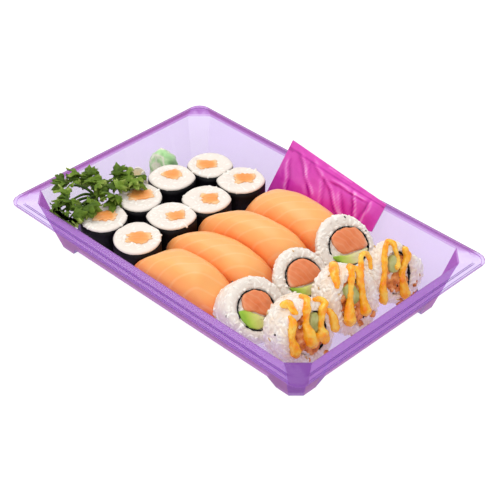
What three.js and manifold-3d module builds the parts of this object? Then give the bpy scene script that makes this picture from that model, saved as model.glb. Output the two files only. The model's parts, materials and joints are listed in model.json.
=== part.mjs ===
// Takeaway sushi tray: a stepped clear plastic tray on four corner feet, filled with small
// salmon rolls, salmon nigiri, inside-out rolls, crispy rolls with sauce, parsley, pickled
// ginger, wasabi and a sauce sachet.
// Millimetres, +Z up. X runs along the tray, Y across it, and the origin is at the middle
// of the surface that the tray stands on.

import * as THREE from "three";
import { mergeVertices } from "three/addons/utils/BufferGeometryUtils.js";
import Module from "manifold-3d";

const wasm = await Module();
wasm.setup();

// Tray
const TRAY_LENGTH = 200;
const TRAY_WIDTH = 132;
const SHELL = 0.9; // wall thickness
const RIDGE_HEIGHT = 29.1; // the loop where the wall turns over into the rim
const RIDGE_INSET = 6.7;
const RIDGE_CORNER = 8.6; // leg of the ridge's cut corner
const RIM_CORNER = 6; // radius of the rim's outer corner
const WALL_LEAN = 0.355; // how far the wall comes in for each millimetre down
const BASE_HEIGHT = 5.5; // underside of the base between the feet
const FOOT_REACH = 12.6; // length of a foot along each side
const FOOT_RAMP = 4;
const FOOT_CORNER = 4.7; // leg of the foot's cut corner
// The rim's steps from the ridge to the lip, as inset and height, and then its underside.
const RIM_TOP = [[6.7, 29.1], [2.8, 28.3], [2.4, 27.7], [0.5, 27.3], [0, 26.7], [0, 25.6]];
const RIM_UNDER = [[0.9, 25.6], [0.9, 26.5], [3, 26.9], [3.4, 27.5], [7.1, 28.1]];

// Food
const FLOOR = BASE_HEIGHT + SHELL + 0.1; // what the food stands on, with a hair of air
const GAP = 0.12; // air between the layers of one piece
const CLEAR = 0.3; // air between neighbouring pieces and to the tray
const NORI = 0.5;

// Small rolls standing on end, cut face up. half: half sizes along the piece's long
// diagonal and across it. pinch: how pointed its ends are. core: place of the salmon.
const MAKI_TURN = Math.PI / 4;
const MAKI = [
  { name: "maki_a1", at: [-53.3, -43.4], top: 28.0,
    half: [11.8, 12.1], pinch: 0.12, core: [0.2, 2.2, 5.8, 4.4] },
  { name: "maki_a2", at: [-54.2, -18.9], top: 27.6,
    half: [11.4, 12.4], pinch: 0.06, core: [0.4, 2.6, 6.0, 4.4] },
  { name: "maki_a3", at: [-55.6, 4.2], top: 28.0,
    half: [12.3, 11.6], pinch: 0.3, core: [-0.3, 3.0, 5.2, 3.9] },
  { name: "maki_a4", at: [-50.6, 26.4], top: 27.5,
    half: [12.0, 11.6], pinch: 0.25, core: [-1.6, 0.7, 5.0, 3.9] },
  { name: "maki_b1", at: [-28.9, -43.1], top: 28.2,
    half: [11.8, 13.4], pinch: 0, core: [0.6, 0.3, 6.2, 4.6] },
  { name: "maki_b2", at: [-30.6, -19.2], top: 28.4,
    half: [12.6, 11.8], pinch: 0.3, core: [2.4, 0.3, 4.7, 3.8] },
  { name: "maki_b3", at: [-29.3, 3.4], top: 27.9,
    half: [12.6, 12.0], pinch: 0.25, core: [1.8, 0.7, 4.6, 4.4] },
  { name: "maki_b4", at: [-29.4, 27.6], top: 27.7,
    half: [12.6, 11.9], pinch: 0.22, core: [2.0, 1.8, 5.0, 4.2] },
];
const MAKI_SIDES = 16;
const MAKI_BOW = 0.9; // how far the cut rice stands proud of its edge

// Nigiri side by side, each along X. sweep: how far it slants across for each millimetre.
const NIGIRI = [
  { name: "nigiri_1", at: [6.2, -45.4], length: 54, width: 26.5, top: 37.2, sweep: 0.05 },
  { name: "nigiri_2", at: [7.2, -23.0], length: 58, width: 26.0, top: 35.6, sweep: 0.09 },
  { name: "nigiri_3", at: [8.4, -0.8], length: 60, width: 26.0, top: 38.2, sweep: 0.11 },
  { name: "nigiri_4", at: [12.0, 25.2], length: 56, width: 30.0, top: 37.2, sweep: 0.04 },
];
const NIGIRI_END = 21.5; // height of the slice's ends
const NIGIRI_HEM = 12.5; // height that the slice's sides hang down to
const NIGIRI_SLICE = 5.2; // thickness of the slice along its middle
const NIGIRI_STEPS = 10;
const NIGIRI_ARCS = 7;

// Rolls lying back on their edges. half: half width and half height of the cut face.
// lift: how far the back edge is off the floor where a roll is propped on its neighbours.
// lean: how far the face tips up, and turn: how far it turns to the side, in degrees.
// hole: centre and half sizes of the band of nori. dent: direction and spread, in degrees,
// of a place where the rice is pressed in, and by what share in front and at the back.
const SALMON_ROLLS = [
  { name: "roll_a1", at: [44.8, -40.3], half: [15.4, 15.6], depth: 17.5, lift: 0,
    lean: 43, turn: -10, hole: [-0.7, -0.4, 9.7, 9.7], dent: [0, 1, 0, 0] },
  { name: "roll_a2", at: [47.9, -10.7], half: [14.8, 16.0], depth: 9, lift: 6.0,
    lean: 45, turn: -10, hole: [0.7, 0.4, 9.7, 9.5], dent: [146, 46, 0, 0.17] },
  { name: "roll_a3", at: [46.4, 20.9], half: [16.2, 17.2], depth: 9, lift: 6.1,
    lean: 46, turn: -10, hole: [1.4, 0.3, 11, 9.6], dent: [150, 50, 0, 0.22] },
];
const CRISPY_ROLLS = [
  { name: "roll_b1", at: [70.2, -34.6], half: [15.6, 16.2], depth: 16, lift: 0,
    lean: 16, turn: -6, hole: [0.6, 0.4, 9.2, 10.8], dent: [0, 1, 0, 0] },
  { name: "roll_b2", at: [69.9, -3.4], half: [14.9, 16.4], depth: 16, lift: 0,
    lean: 20, turn: -6, hole: [-1.1, 0.6, 7.6, 11.2], dent: [0, 1, 0, 0] },
  { name: "roll_b3", at: [72.7, 28.0], half: [16.6, 15.6], depth: 8.6, lift: 3.1,
    lean: 20, turn: -6, hole: [-1.8, 0.2, 8, 11], dent: [36, 34, 0.36, 0.36] },
];
const ROLL_SIDES = 22;
const ROLL_EDGE = 1.3; // rounding of the rice at both faces
const RICE_BUMP = 0.45; // height of the grains that show as relief

// Sauce: each strand's points as place across the face and distance down the face from its
// top edge, where less than nothing is back over the top of the roll.
const STRANDS = {
  roll_b1: [
    [[-5.7, -6.6], [-7.6, -5.4]],
    [[-2.4, -2.2], [-6.8, -1.4], [-10.2, 0.8], [-12, 7.5], [-10.8, 17]],
    [[0.4, -1], [-0.6, 5.6], [-2.4, 11.2], [-1.5, 18.5]],
    [[1.5, -1.5], [6.5, -0.6], [9.1, 4.1], [7.5, 13], [7, 21.5]],
    [[11.2, 1.4], [12.2, 6.5], [12, 12.2]],
  ],
  roll_b2: [
    [[-2.4, -6.8], [-7.1, -2.8], [-9, 2.8]],
    [[2.4, -5], [-1.5, 3.7], [-4.6, 12.7], [-7.2, 20]],
    [[6.6, -5.6], [4.7, 1.3], [3.8, 9], [3.5, 22]],
    [[6.8, -4.6], [10, -2.4], [11.6, 3.2]],
  ],
  roll_b3: [
    [[-1.4, -3.4], [-6.2, 0.8], [-9, 8], [-11.6, 16.5]],
    [[-1.2, -3], [1.4, -0.8], [0.4, 5.6], [-0.2, 11.5]],
    [[6.4, -2.6], [5.3, 6.3], [3.1, 13.3], [0.6, 20], [0.9, 26.5]],
  ],
};
const STRAND_RADIUS = 1.6;
const DRIP = 1.45; // how much thicker a strand's lower end is
const STRAND_SIDES = 5;
const STRAND_STEPS = 5;

// Garnish
const PARSLEY_ROOT = [-74, -31, 9.5];
const PARSLEY_FORK = [-73, -31, 27];
// Where each leaf of the sprig sits, and the way that it faces in degrees.
const PARSLEY_LEAVES = [
  { at: [-85.8, -37.5, 31], face: 170 },
  { at: [-84.4, -27.6, 30], face: 110 },
  { at: [-75.1, -25.5, 31], face: 60 },
  { at: [-65.0, -20.8, 33], face: 20 },
  { at: [-62.1, -12.8, 33], face: 60 },
  { at: [-58.2, -29.6, 31.5], face: 330 },
  { at: [-74.7, -52.5, 31], face: 210 },
  { at: [-65.0, -48.2, 32.5], face: 270 },
  { at: [-58.0, -56.2, 32.8], face: 250 },
  { at: [-67.7, -38.1, 34], face: 80 },
];
const LEAF_RADIUS = 6.4;
const LEAF_THICK = 0.7;
const STEM_RADIUS = 0.8;
const GINGER_AT = [-80.2, 1.6];
const GINGER_RADIUS = 7.2;
const GINGER_TOP = 17;
const WASABI_AT = [-78.6, 18.8];
const WASABI_RADIUS = 7.8;
const WASABI_TOP = 28;

// Sachet leaning on the back wall: its upper corners, and the way down from them.
const SACHET_LEFT = [-24, 60.2, 39.8];
const SACHET_RIGHT = [40.6, 58.9, 32.4];
const SACHET_DOWN = [-0.144, -0.452, -0.88];
const SACHET_HEIGHTS = [35.5, 28.5, 16]; // at its left, middle and folded right edge
const SACHET_SEAL = 0.5; // half thickness at the flat edges
const SACHET_BULGE = 1.9;

const COLOURS = {
  tray: [0xa86cc8, 0.2],
  nori: [0x0f0a12, 0.7],
  rice: [0xf3ece8, 0.55],
  salmon: [0xf79a55, 0.35],
  avocado: [0xa5bf3b, 0.5],
  cucumber: [0xb5b560, 0.4],
  prawn: [0xc8602c, 0.6],
  parsley: [0x2f6b12, 0.55],
  ginger: [0xf5e6c8, 0.4],
  wasabi: [0x8fc070, 0.6],
  sachet: [0xd42aa5, 0.25],
};

const SPECK = 2e-3; // shorter edges are closed up
const UP = new THREE.Vector3(0, 0, 1);
const part = new THREE.Group();

const mix = (a, b, share) => a + (b - a) * share;
const vec = (x, y, z) => new THREE.Vector3(x, y, z);

// Numbers between 0 and 1 that come out alike each time.
function seeded(seed) {
  let state = (seed * 7919 + 104729) % 2147483647;
  return () => {
    state = (state * 48271) % 2147483647;
    return state / 2147483647;
  };
}

// A closed surface built up from triangles, quads, strips between loops, and caps.
class Surface {
  constructor() {
    this.corners = [];
  }

  triangle(a, b, c) {
    const thin = a.distanceTo(b) < SPECK || b.distanceTo(c) < SPECK || c.distanceTo(a) < SPECK;
    if (!thin) this.corners.push(a, b, c);
  }

  // Split along its shorter diagonal, so that two skins close together split alike.
  quad(a, b, c, d) {
    if (a.distanceTo(c) < b.distanceTo(d) + SPECK) {
      this.triangle(a, b, c);
      this.triangle(a, c, d);
    } else {
      this.triangle(a, b, d);
      this.triangle(b, c, d);
    }
  }

  // Joins two loops with the same number of points, the second one further out or up.
  strip(from, to) {
    from.forEach((point, i) => {
      const next = (i + 1) % from.length;
      this.quad(point, from[next], to[next], to[i]);
    });
  }

  cap(loop, upward) {
    const centre = loop.reduce((sum, p) => sum.add(p), vec(0, 0, 0)).divideScalar(loop.length);
    loop.forEach((point, i) => {
      const next = loop[(i + 1) % loop.length];
      if (upward) this.triangle(centre, point, next);
      else this.triangle(centre, next, point);
    });
  }

  geometry() {
    const made = new THREE.BufferGeometry().setFromPoints(this.corners);
    return mergeVertices(made, 1e-4);
  }
}

// A solid through loops stacked upwards, capped at both ends or closed into a ring.
function loft(loops, ring = false) {
  const surface = new Surface();
  for (let k = 0; k + 1 < loops.length; k++) surface.strip(loops[k], loops[k + 1]);
  if (ring) {
    surface.strip(loops[loops.length - 1], loops[0]);
  } else {
    surface.cap(loops[0], false);
    surface.cap(loops[loops.length - 1], true);
  }
  return surface.geometry();
}

// A solid between an upper and a lower grid of points, closed round its edge.
function slab(upper, lower) {
  const surface = new Surface();
  const rows = upper.length - 1;
  const columns = upper[0].length - 1;
  for (let i = 0; i < rows; i++) {
    for (let j = 0; j < columns; j++) {
      surface.quad(upper[i][j], upper[i + 1][j], upper[i + 1][j + 1], upper[i][j + 1]);
      surface.quad(lower[i][j], lower[i][j + 1], lower[i + 1][j + 1], lower[i + 1][j]);
    }
  }
  const edge = (grid) => [
    ...grid.map((row) => row[0]),
    ...grid[rows].slice(1),
    ...grid.slice(0, rows).reverse().map((row) => row[columns]),
    ...grid[0].slice(1, columns).reverse(),
  ];
  surface.strip(edge(lower), edge(upper));
  return surface.geometry();
}

// manifold-3d joins and cuts.
function solid(geometry) {
  const bare = geometry.clone();
  bare.deleteAttribute("normal");
  bare.deleteAttribute("uv");
  const merged = mergeVertices(bare, 1e-3);
  const mesh = new wasm.Mesh({
    numProp: 3,
    vertProperties: merged.attributes.position.array,
    triVerts: new Uint32Array(merged.index.array),
  });
  return new wasm.Manifold(mesh);
}

function geometryOf(body) {
  const mesh = body.getMesh();
  const geometry = new THREE.BufferGeometry();
  geometry.setAttribute("position", new THREE.BufferAttribute(mesh.vertProperties.slice(), 3));
  geometry.setIndex(new THREE.BufferAttribute(mesh.triVerts.slice(), 1));
  return geometry;
}

const joined = (geometries) =>
  geometryOf(geometries.map(solid).reduce((whole, next) => whole.add(next)));

function add(group, name, colour, geometry) {
  const [color, roughness] = COLOURS[colour];
  const material = new THREE.MeshStandardMaterial({ color, roughness, metalness: 0 });
  const mesh = new THREE.Mesh(geometry, material);
  mesh.name = name;
  group.add(mesh);
}

// Half sizes of the tray's inside at a height, and a point held within them.
const insetAt = (z) => RIDGE_INSET + WALL_LEAN * (RIDGE_HEIGHT - Math.min(z, RIDGE_HEIGHT));

function insideTray(point, clear = CLEAR) {
  const x = TRAY_LENGTH / 2 - insetAt(point.z) - clear;
  const y = TRAY_WIDTH / 2 - insetAt(point.z) - clear;
  point.x = THREE.MathUtils.clamp(point.x, -x, x);
  point.y = THREE.MathUtils.clamp(point.y, -y, y);
  return point;
}

// Tray ---------------------------------------------------------------------------------

const BASE_X = TRAY_LENGTH / 2 - insetAt(0) + SHELL;
const BASE_Y = TRAY_WIDTH / 2 - insetAt(0) + SHELL;
const FOOT_X = [BASE_X - FOOT_CORNER, BASE_X - FOOT_REACH, BASE_X - FOOT_REACH - FOOT_RAMP];
const FOOT_Y = [BASE_Y - FOOT_CORNER, BASE_Y - FOOT_REACH, BASE_Y - FOOT_REACH - FOOT_RAMP];
const CORNER_STEPS = 4;

// One loop round the tray. inset and height are functions of whether a point is on a foot,
// and roundness goes from a cut corner, 0, to a round one, 1.
function trayLoop(inset, height, corner, roundness) {
  const place = (x, y, foot) => ({ x, y, foot });
  const a = (foot) => TRAY_LENGTH / 2 - inset(foot);
  const b = (foot) => TRAY_WIDTH / 2 - inset(foot);
  const quarter = [
    place(a(false), 0, false),
    place(a(false), FOOT_Y[2], false),
    place(a(true), FOOT_Y[1], true),
  ];
  for (let i = 0; i <= CORNER_STEPS; i++) {
    const share = i / CORNER_STEPS;
    const angle = (share * Math.PI) / 2;
    const out = [mix(1 - share, Math.cos(angle), roundness), mix(share, Math.sin(angle), roundness)];
    quarter.push(place(a(true) - corner * (1 - out[0]), b(true) - corner * (1 - out[1]), true));
  }
  quarter.push(place(FOOT_X[1], b(true), true), place(FOOT_X[2], b(false), false));
  const mirrored = quarter.slice(1).reverse().map((p) => place(-p.x, p.y, p.foot));
  const half = [...quarter, place(0, b(false), false), ...mirrored];
  const whole = [...half, ...half.map((p) => place(-p.x, -p.y, p.foot))];
  return whole.map((p) => vec(p.x, p.y, height(p.foot)));
}

// The flat middle of the base as a grid that meets the innermost loop.
function trayFloor(surface, height, upward) {
  const lines = ([corner, reach, ramp]) => [-corner, -reach, -ramp, 0, ramp, reach, corner];
  const node = (x, y) => vec(x, y, height(Math.abs(x) >= FOOT_X[1] && Math.abs(y) >= FOOT_Y[1]));
  const xs = lines(FOOT_X);
  const ys = lines(FOOT_Y);
  for (let i = 0; i + 1 < xs.length; i++) {
    for (let j = 0; j + 1 < ys.length; j++) {
      const [a, b] = [node(xs[i], ys[j]), node(xs[i + 1], ys[j])];
      const [c, d] = [node(xs[i + 1], ys[j + 1]), node(xs[i], ys[j + 1])];
      if (upward) surface.quad(a, b, c, d);
      else surface.quad(a, d, c, b);
    }
  }
}

function makeTray() {
  const surface = new Surface();
  const under = (foot) => (foot ? 0 : BASE_HEIGHT);
  const over = (foot) => under(foot) + SHELL;
  const middle = () => TRAY_LENGTH / 2 - FOOT_X[0];
  const rimLoop = ([inset, height], share) => {
    const corner = mix(RIDGE_CORNER, RIM_CORNER, share);
    return trayLoop(() => inset, () => height, corner, share);
  };
  const share = (inset) => 1 - Math.min(inset / RIDGE_INSET, 1);
  const loops = [
    trayLoop(middle, under, 0, 0),
    trayLoop((foot) => insetAt(under(foot)) - SHELL, under, FOOT_CORNER, 0),
    ...RIM_UNDER.toReversed().map((step) => rimLoop(step, share(step[0]))),
    ...RIM_TOP.toReversed().map((step) => rimLoop(step, share(step[0]))),
    trayLoop((foot) => insetAt(over(foot)), over, FOOT_CORNER, 0),
    trayLoop(middle, over, 0, 0),
  ];
  for (let k = 0; k + 1 < loops.length; k++) surface.strip(loops[k], loops[k + 1]);
  trayFloor(surface, under, false);
  trayFloor(surface, over, true);
  add(part, "tray", "tray", surface.geometry());
}

// Small rolls --------------------------------------------------------------------------

// The outline at a height: a lens across the tray's diagonal, pressed flat where it meets
// its neighbours and the tray. inward moves it towards the middle.
function makiOutline(maki, z, inward) {
  const loop = [];
  for (let k = 0; k < MAKI_SIDES; k++) {
    const angle = (2 * Math.PI * k) / MAKI_SIDES;
    const along = maki.half[0] * Math.cos(angle);
    const across = maki.half[1] * Math.sin(angle) * Math.abs(Math.sin(angle)) ** maki.pinch;
    const point = vec(along, across, z).applyAxisAngle(UP, MAKI_TURN);
    point.x += maki.at[0];
    point.y += maki.at[1];
    for (const other of MAKI) {
      if (other === maki) continue;
      const away = vec(other.at[0] - maki.at[0], other.at[1] - maki.at[1], 0);
      const reach = away.length() / 2 - CLEAR / 2;
      away.normalize();
      const past = (point.x - maki.at[0]) * away.x + (point.y - maki.at[1]) * away.y - reach;
      if (past > 0) point.addScaledVector(away, -past);
    }
    insideTray(point);
    point.sub(vec(maki.at[0], maki.at[1], 0));
    const flat = Math.hypot(point.x, point.y);
    point.x *= (flat - inward) / flat;
    point.y *= (flat - inward) / flat;
    loop.push(point);
  }
  return loop;
}

// The salmon's outline: a squarish block with uneven corners.
function coreOutline(maki, z, inward, seed) {
  const random = seeded(seed);
  const loop = [];
  for (let k = 0; k < MAKI_SIDES; k++) {
    const angle = (2 * Math.PI * k) / MAKI_SIDES;
    const square = 1 + 0.16 * Math.sin(2 * angle) ** 2 - 0.1 * random();
    const along = maki.core[0] + (maki.core[2] - inward) * square * Math.cos(angle);
    const across = maki.core[1] + (maki.core[3] - inward) * square * Math.sin(angle);
    loop.push(vec(along, across, z).applyAxisAngle(UP, MAKI_TURN));
  }
  return loop;
}

function makeMaki(maki, index) {
  const group = new THREE.Group();
  group.position.set(maki.at[0], maki.at[1], 0);
  part.add(group);
  const edge = maki.top - 0.2;
  const nori = [
    makiOutline(maki, FLOOR, 0),
    makiOutline(maki, edge, 0),
    makiOutline(maki, edge, NORI),
    makiOutline(maki, FLOOR, NORI),
  ];
  const inner = NORI + GAP;
  const seed = index + 1;
  const rim = makiOutline(maki, maki.top, inner);
  const hole = coreOutline(maki, maki.top + MAKI_BOW * 0.6, 0, seed);
  const random = seeded(seed + 50);
  const dome = rim.map((point, k) => {
    const half = point.clone().lerp(hole[k], 0.5);
    half.z = maki.top + MAKI_BOW * mix(0.6, 1.1, random());
    return half;
  });
  const rice = [
    makiOutline(maki, FLOOR, inner),
    rim,
    dome,
    hole,
    coreOutline(maki, FLOOR, 0, seed),
  ];
  const salmon = [
    coreOutline(maki, FLOOR, GAP, seed),
    coreOutline(maki, maki.top + MAKI_BOW * 0.4, GAP, seed),
  ];
  add(group, maki.name + "_nori", "nori", loft(nori, true));
  add(group, maki.name + "_rice", "rice", loft(rice, true));
  add(group, maki.name + "_salmon", "salmon", loft(salmon));
}

// Lying rolls --------------------------------------------------------------------------

// A roll's centre and its axes: across the face, up the face, and out of it. It stands on
// the lower edge of its back face, or its lift above the floor.
function rollFrame(roll) {
  const lean = THREE.MathUtils.degToRad(roll.lean);
  const turn = THREE.MathUtils.degToRad(roll.turn);
  const out = vec(Math.cos(lean) * Math.cos(turn), Math.cos(lean) * Math.sin(turn), Math.sin(lean));
  const across = vec(-Math.sin(turn), Math.cos(turn), 0);
  const up = out.clone().cross(across);
  const height = FLOOR + roll.lift + roll.half[1] * up.z + (roll.depth / 2) * out.z;
  return { out, across, up, centre: vec(roll.at[0], roll.at[1], height) };
}

function rollGroup(roll) {
  const { out, across, up, centre } = rollFrame(roll);
  const group = new THREE.Group();
  group.position.copy(centre);
  group.quaternion.setFromRotationMatrix(new THREE.Matrix4().makeBasis(across, up, out));
  part.add(group);
  return group;
}

// A point of an ellipse given as centre and half sizes.
function onEllipse([x, y, a, b], angle, grow, z) {
  return vec(x + (a + grow) * Math.cos(angle), y + (b + grow) * Math.sin(angle), z);
}

// Moves a point of a roll towards the roll's middle where the roll is dented.
function pressedIn(roll, point) {
  const [towards, spread, front, back] = roll.dent;
  const angle = THREE.MathUtils.radToDeg(Math.atan2(point.y, point.x));
  const off = ((angle - towards + 540) % 360) - 180;
  const share = mix(back, front, point.z / roll.depth + 0.5) * Math.exp(-((off / spread) ** 2));
  return point.multiply(vec(1 - share, 1 - share, 1));
}

// The thick ring of rice, bumpy outside and on its front face.
function riceRing(roll, hole, seed) {
  const random = seeded(seed);
  const outside = [0, 0, roll.half[0], roll.half[1]];
  const ring = (z, grow, bump) => {
    const loop = [];
    for (let k = 0; k < ROLL_SIDES; k++) {
      const rough = bump * (random() - 1);
      loop.push(pressedIn(roll, onEllipse(outside, (2 * Math.PI * k) / ROLL_SIDES, grow + rough, z)));
    }
    return loop;
  };
  const inside = (z) => {
    const loop = [];
    for (let k = 0; k < ROLL_SIDES; k++) loop.push(onEllipse(hole, (2 * Math.PI * k) / ROLL_SIDES, 0, z));
    return loop;
  };
  const face = roll.depth / 2;
  const belly = face - ROLL_EDGE;
  const outer = [
    ring(-face, -ROLL_EDGE, 0),
    ring(-belly, 0, RICE_BUMP),
    ring(-belly / 3, 0, 2 * RICE_BUMP),
    ring(belly / 3, 0, 2 * RICE_BUMP),
    ring(belly, 0, 2 * RICE_BUMP),
    ring(face - 0.2, -ROLL_EDGE, RICE_BUMP),
  ];
  const mouth = inside(face - 0.4);
  const crown = outer[5].map((point, k) => {
    const half = point.clone().lerp(mouth[k], 0.5);
    half.z = face + RICE_BUMP * (random() - 1);
    return half;
  });
  return loft([...outer, crown, mouth, inside(-face)], true);
}

// The part of a closed outline where a * x + b * y is over c.
function cutOutline(points, [a, b, c]) {
  const kept = [];
  points.forEach((point, i) => {
    const next = points[(i + 1) % points.length];
    const here = a * point.x + b * point.y - c;
    const there = a * next.x + b * next.y - c;
    if (here >= 0) kept.push(point);
    if (here * there < 0) kept.push(point.clone().lerp(next, here / (here - there)));
  });
  return kept;
}

function ellipseOutline(hole, grow) {
  const loop = [];
  for (let k = 0; k < ROLL_SIDES; k++) {
    const point = onEllipse(hole, (2 * Math.PI * k) / ROLL_SIDES, grow, 0);
    loop.push(new THREE.Vector2(point.x, point.y));
  }
  return loop;
}

function prism(outline, from, to) {
  const geometry = new THREE.ExtrudeGeometry(new THREE.Shape(outline), {
    depth: to - from,
    bevelEnabled: false,
  });
  return geometry.translate(0, 0, from);
}

// Inside-out roll: rice, a band of nori open at the left, a block of salmon over a wedge
// of avocado, and a little rice at their left that joins the ring through the opening.
const NORI_OPENING = 0.42; // half of the opening, in radians
const FILLING_LEFT = -0.5; // left side of the salmon, as a share of the hole
const FILLING_TILT = 0.16;

function makeSalmonRoll(roll, index) {
  const group = rollGroup(roll);
  const face = roll.depth / 2;
  const [x, y, a, b] = roll.hole;
  const band = [];
  const turns = ROLL_SIDES;
  for (let k = 0; k <= turns; k++) {
    const angle = Math.PI + NORI_OPENING + (k / turns) * 2 * (Math.PI - NORI_OPENING);
    band.push(onEllipse(roll.hole, angle, -GAP, 0));
  }
  for (let k = turns; k >= 0; k--) {
    const angle = Math.PI + NORI_OPENING + (k / turns) * 2 * (Math.PI - NORI_OPENING);
    band.push(onEllipse(roll.hole, angle, -GAP - NORI, 0));
  }
  const inner = ellipseOutline(roll.hole, -NORI - 2 * GAP - 0.1);
  const left = x + FILLING_LEFT * a;
  const shelf = y - 0.22 * b;
  const salmon = cutOutline(cutOutline(inner, [1, 0, left]), [FILLING_TILT, 1, FILLING_TILT * x + shelf]);
  const below = [-FILLING_TILT, -1, -FILLING_TILT * x - shelf + GAP];
  const avocado = cutOutline(inner, below);
  const leftOf = cutOutline(inner, [-1, 0, -left + 2 * GAP]);
  const scrap = cutOutline(leftOf, [FILLING_TILT, 1, FILLING_TILT * x + shelf + GAP]);
  const reach = 0.26 * b;
  const bridge = [
    new THREE.Vector2(x - a - 1.6, y + 0.02 * b),
    new THREE.Vector2(x - 0.82 * a, y + 0.02 * b),
    new THREE.Vector2(x - 0.82 * a, y + reach),
    new THREE.Vector2(x - a - 1.6, y + reach),
  ];
  const rice = joined([
    riceRing(roll, roll.hole, 200 + index),
    prism(bridge, -face + 0.8, face - 0.9),
    prism(scrap, -face + 0.6, face - 0.7),
  ]);
  add(group, roll.name + "_rice", "rice", rice);
  add(group, roll.name + "_nori", "nori", prism(band, -face + 0.2, face - 0.5));
  add(group, roll.name + "_salmon", "salmon", prism(salmon, -face + 0.3, face - 0.3));
  add(group, roll.name + "_avocado", "avocado", prism(avocado, -face + 0.3, face - 0.6));
}

// A strand of sauce over the shoulder of a roll and down its face. It lies on the rice and
// passes clear of the fillings.
function strand(roll, route) {
  const [a, b] = roll.half;
  const points = route.map(([across, down]) => {
    const shoulder = b * Math.sqrt(1 - (across / a) ** 2) - ROLL_EDGE;
    const back = Math.min(down, 0);
    const height = shoulder - Math.max(down, 0) - 0.04 * back * back + (down < 0 ? 1 : 0);
    const [x, y, wide, tall] = roll.hole;
    const overHole = ((across - x) / wide) ** 2 + ((height - y) / tall) ** 2 < 1.25;
    const proud = down < 0 ? 0.2 : STRAND_RADIUS * (overHole ? 1.3 : 0.5);
    return pressedIn(roll, vec(across, height, roll.depth / 2 + back + proud));
  });
  const curve = new THREE.CatmullRomCurve3(points, false, "centripetal");
  const steps = route.length > 2 ? STRAND_STEPS : 3;
  const { normals, binormals } = curve.computeFrenetFrames(steps, false);
  const loops = [];
  for (let k = 0; k <= steps; k++) {
    const share = k / steps;
    const tip = k === 0 || k === steps ? 0.62 : 1;
    const radius = STRAND_RADIUS * tip * mix(1, DRIP, share ** 3);
    const centre = curve.getPointAt(share);
    const loop = [];
    for (let i = 0; i < STRAND_SIDES; i++) {
      const angle = (2 * Math.PI * i) / STRAND_SIDES;
      const point = centre.clone().addScaledVector(normals[k], radius * Math.cos(angle));
      loop.push(point.addScaledVector(binormals[k], radius * Math.sin(angle)));
    }
    loops.push(loop);
  }
  return loft(loops);
}

// Crispy roll: rice with strands of sauce, and fried prawn round a stick of cucumber.
const CUCUMBER = [5.4, 9.5]; // width and height of the stick

function makeCrispyRoll(roll, index) {
  const group = rollGroup(roll);
  const face = roll.depth / 2;
  const [x, y, , b] = roll.hole;
  const stick = (grow) => {
    const half = CUCUMBER[0] / 2 + grow;
    const top = y + b - NORI - 1.1 + grow;
    const low = top - CUCUMBER[1] - 2 * grow;
    const mid = x - 0.6;
    const outline = [
      [mid - half * 0.8, low],
      [mid + half * 0.7, low - 0.5],
      [mid + half, top - 4],
      [mid + half * 0.5, top],
      [mid - half * 0.6, top],
      [mid - half, top - 4],
    ];
    return outline.map(([px, py]) => new THREE.Vector2(px, py));
  };
  const random = seeded(300 + index);
  const crumb = ellipseOutline(roll.hole, -NORI - 0.5).map((point) => {
    point.x -= (point.x - x) * 0.07 * random();
    point.y -= (point.y - y) * 0.07 * random();
    return point;
  });
  const whole = solid(prism(crumb, -face + 0.4, face - 0.4));
  const prawn = whole.subtract(solid(prism(stick(CLEAR), -face, face)));
  const strands = STRANDS[roll.name].map((route) => strand(roll, route));
  const rice = joined([riceRing(roll, roll.hole, 400 + index), ...strands]);
  add(group, roll.name + "_rice", "rice", rice);
  add(group, roll.name + "_prawn", "prawn", geometryOf(prawn));
  add(group, roll.name + "_cucumber", "cucumber", prism(stick(0), -face + 0.6, face - 0.6));
}

// Nigiri -------------------------------------------------------------------------------

// How far left a nigiri can reach at a place across the tray: its end tucks in between the
// small rolls.
function leftLimit(nigiri, y, clear) {
  let limit = nigiri.at[0] - nigiri.length / 2;
  for (const maki of MAKI) {
    const radius = Math.max(...maki.half) + clear;
    const off = Math.abs(y - maki.at[1]);
    if (off < radius) limit = Math.max(limit, maki.at[0] + Math.sqrt(radius ** 2 - off ** 2));
  }
  return limit;
}

// Moves a point of a nigiri off its neighbours, the lying rolls and the tray.
function roomForNigiri(point, index, clear) {
  const line = (i) => NIGIRI[i].at[1] + NIGIRI[i].sweep * (point.x - NIGIRI[i].at[0]);
  if (index > 0) point.y = Math.max(point.y, mix(line(index - 1), line(index), 0.5) + clear);
  if (index + 1 < NIGIRI.length) {
    point.y = Math.min(point.y, mix(line(index), line(index + 1), 0.5) - clear);
  }
  for (const roll of SALMON_ROLLS) {
    const { out, across, centre } = rollFrame(roll);
    const from = point.clone().sub(centre);
    const past = from.dot(out) + roll.depth / 2 + clear;
    if (past > 0 && Math.abs(from.dot(across)) < roll.half[0] + 2) point.addScaledVector(out, -past);
  }
  return insideTray(point, clear);
}

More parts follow.
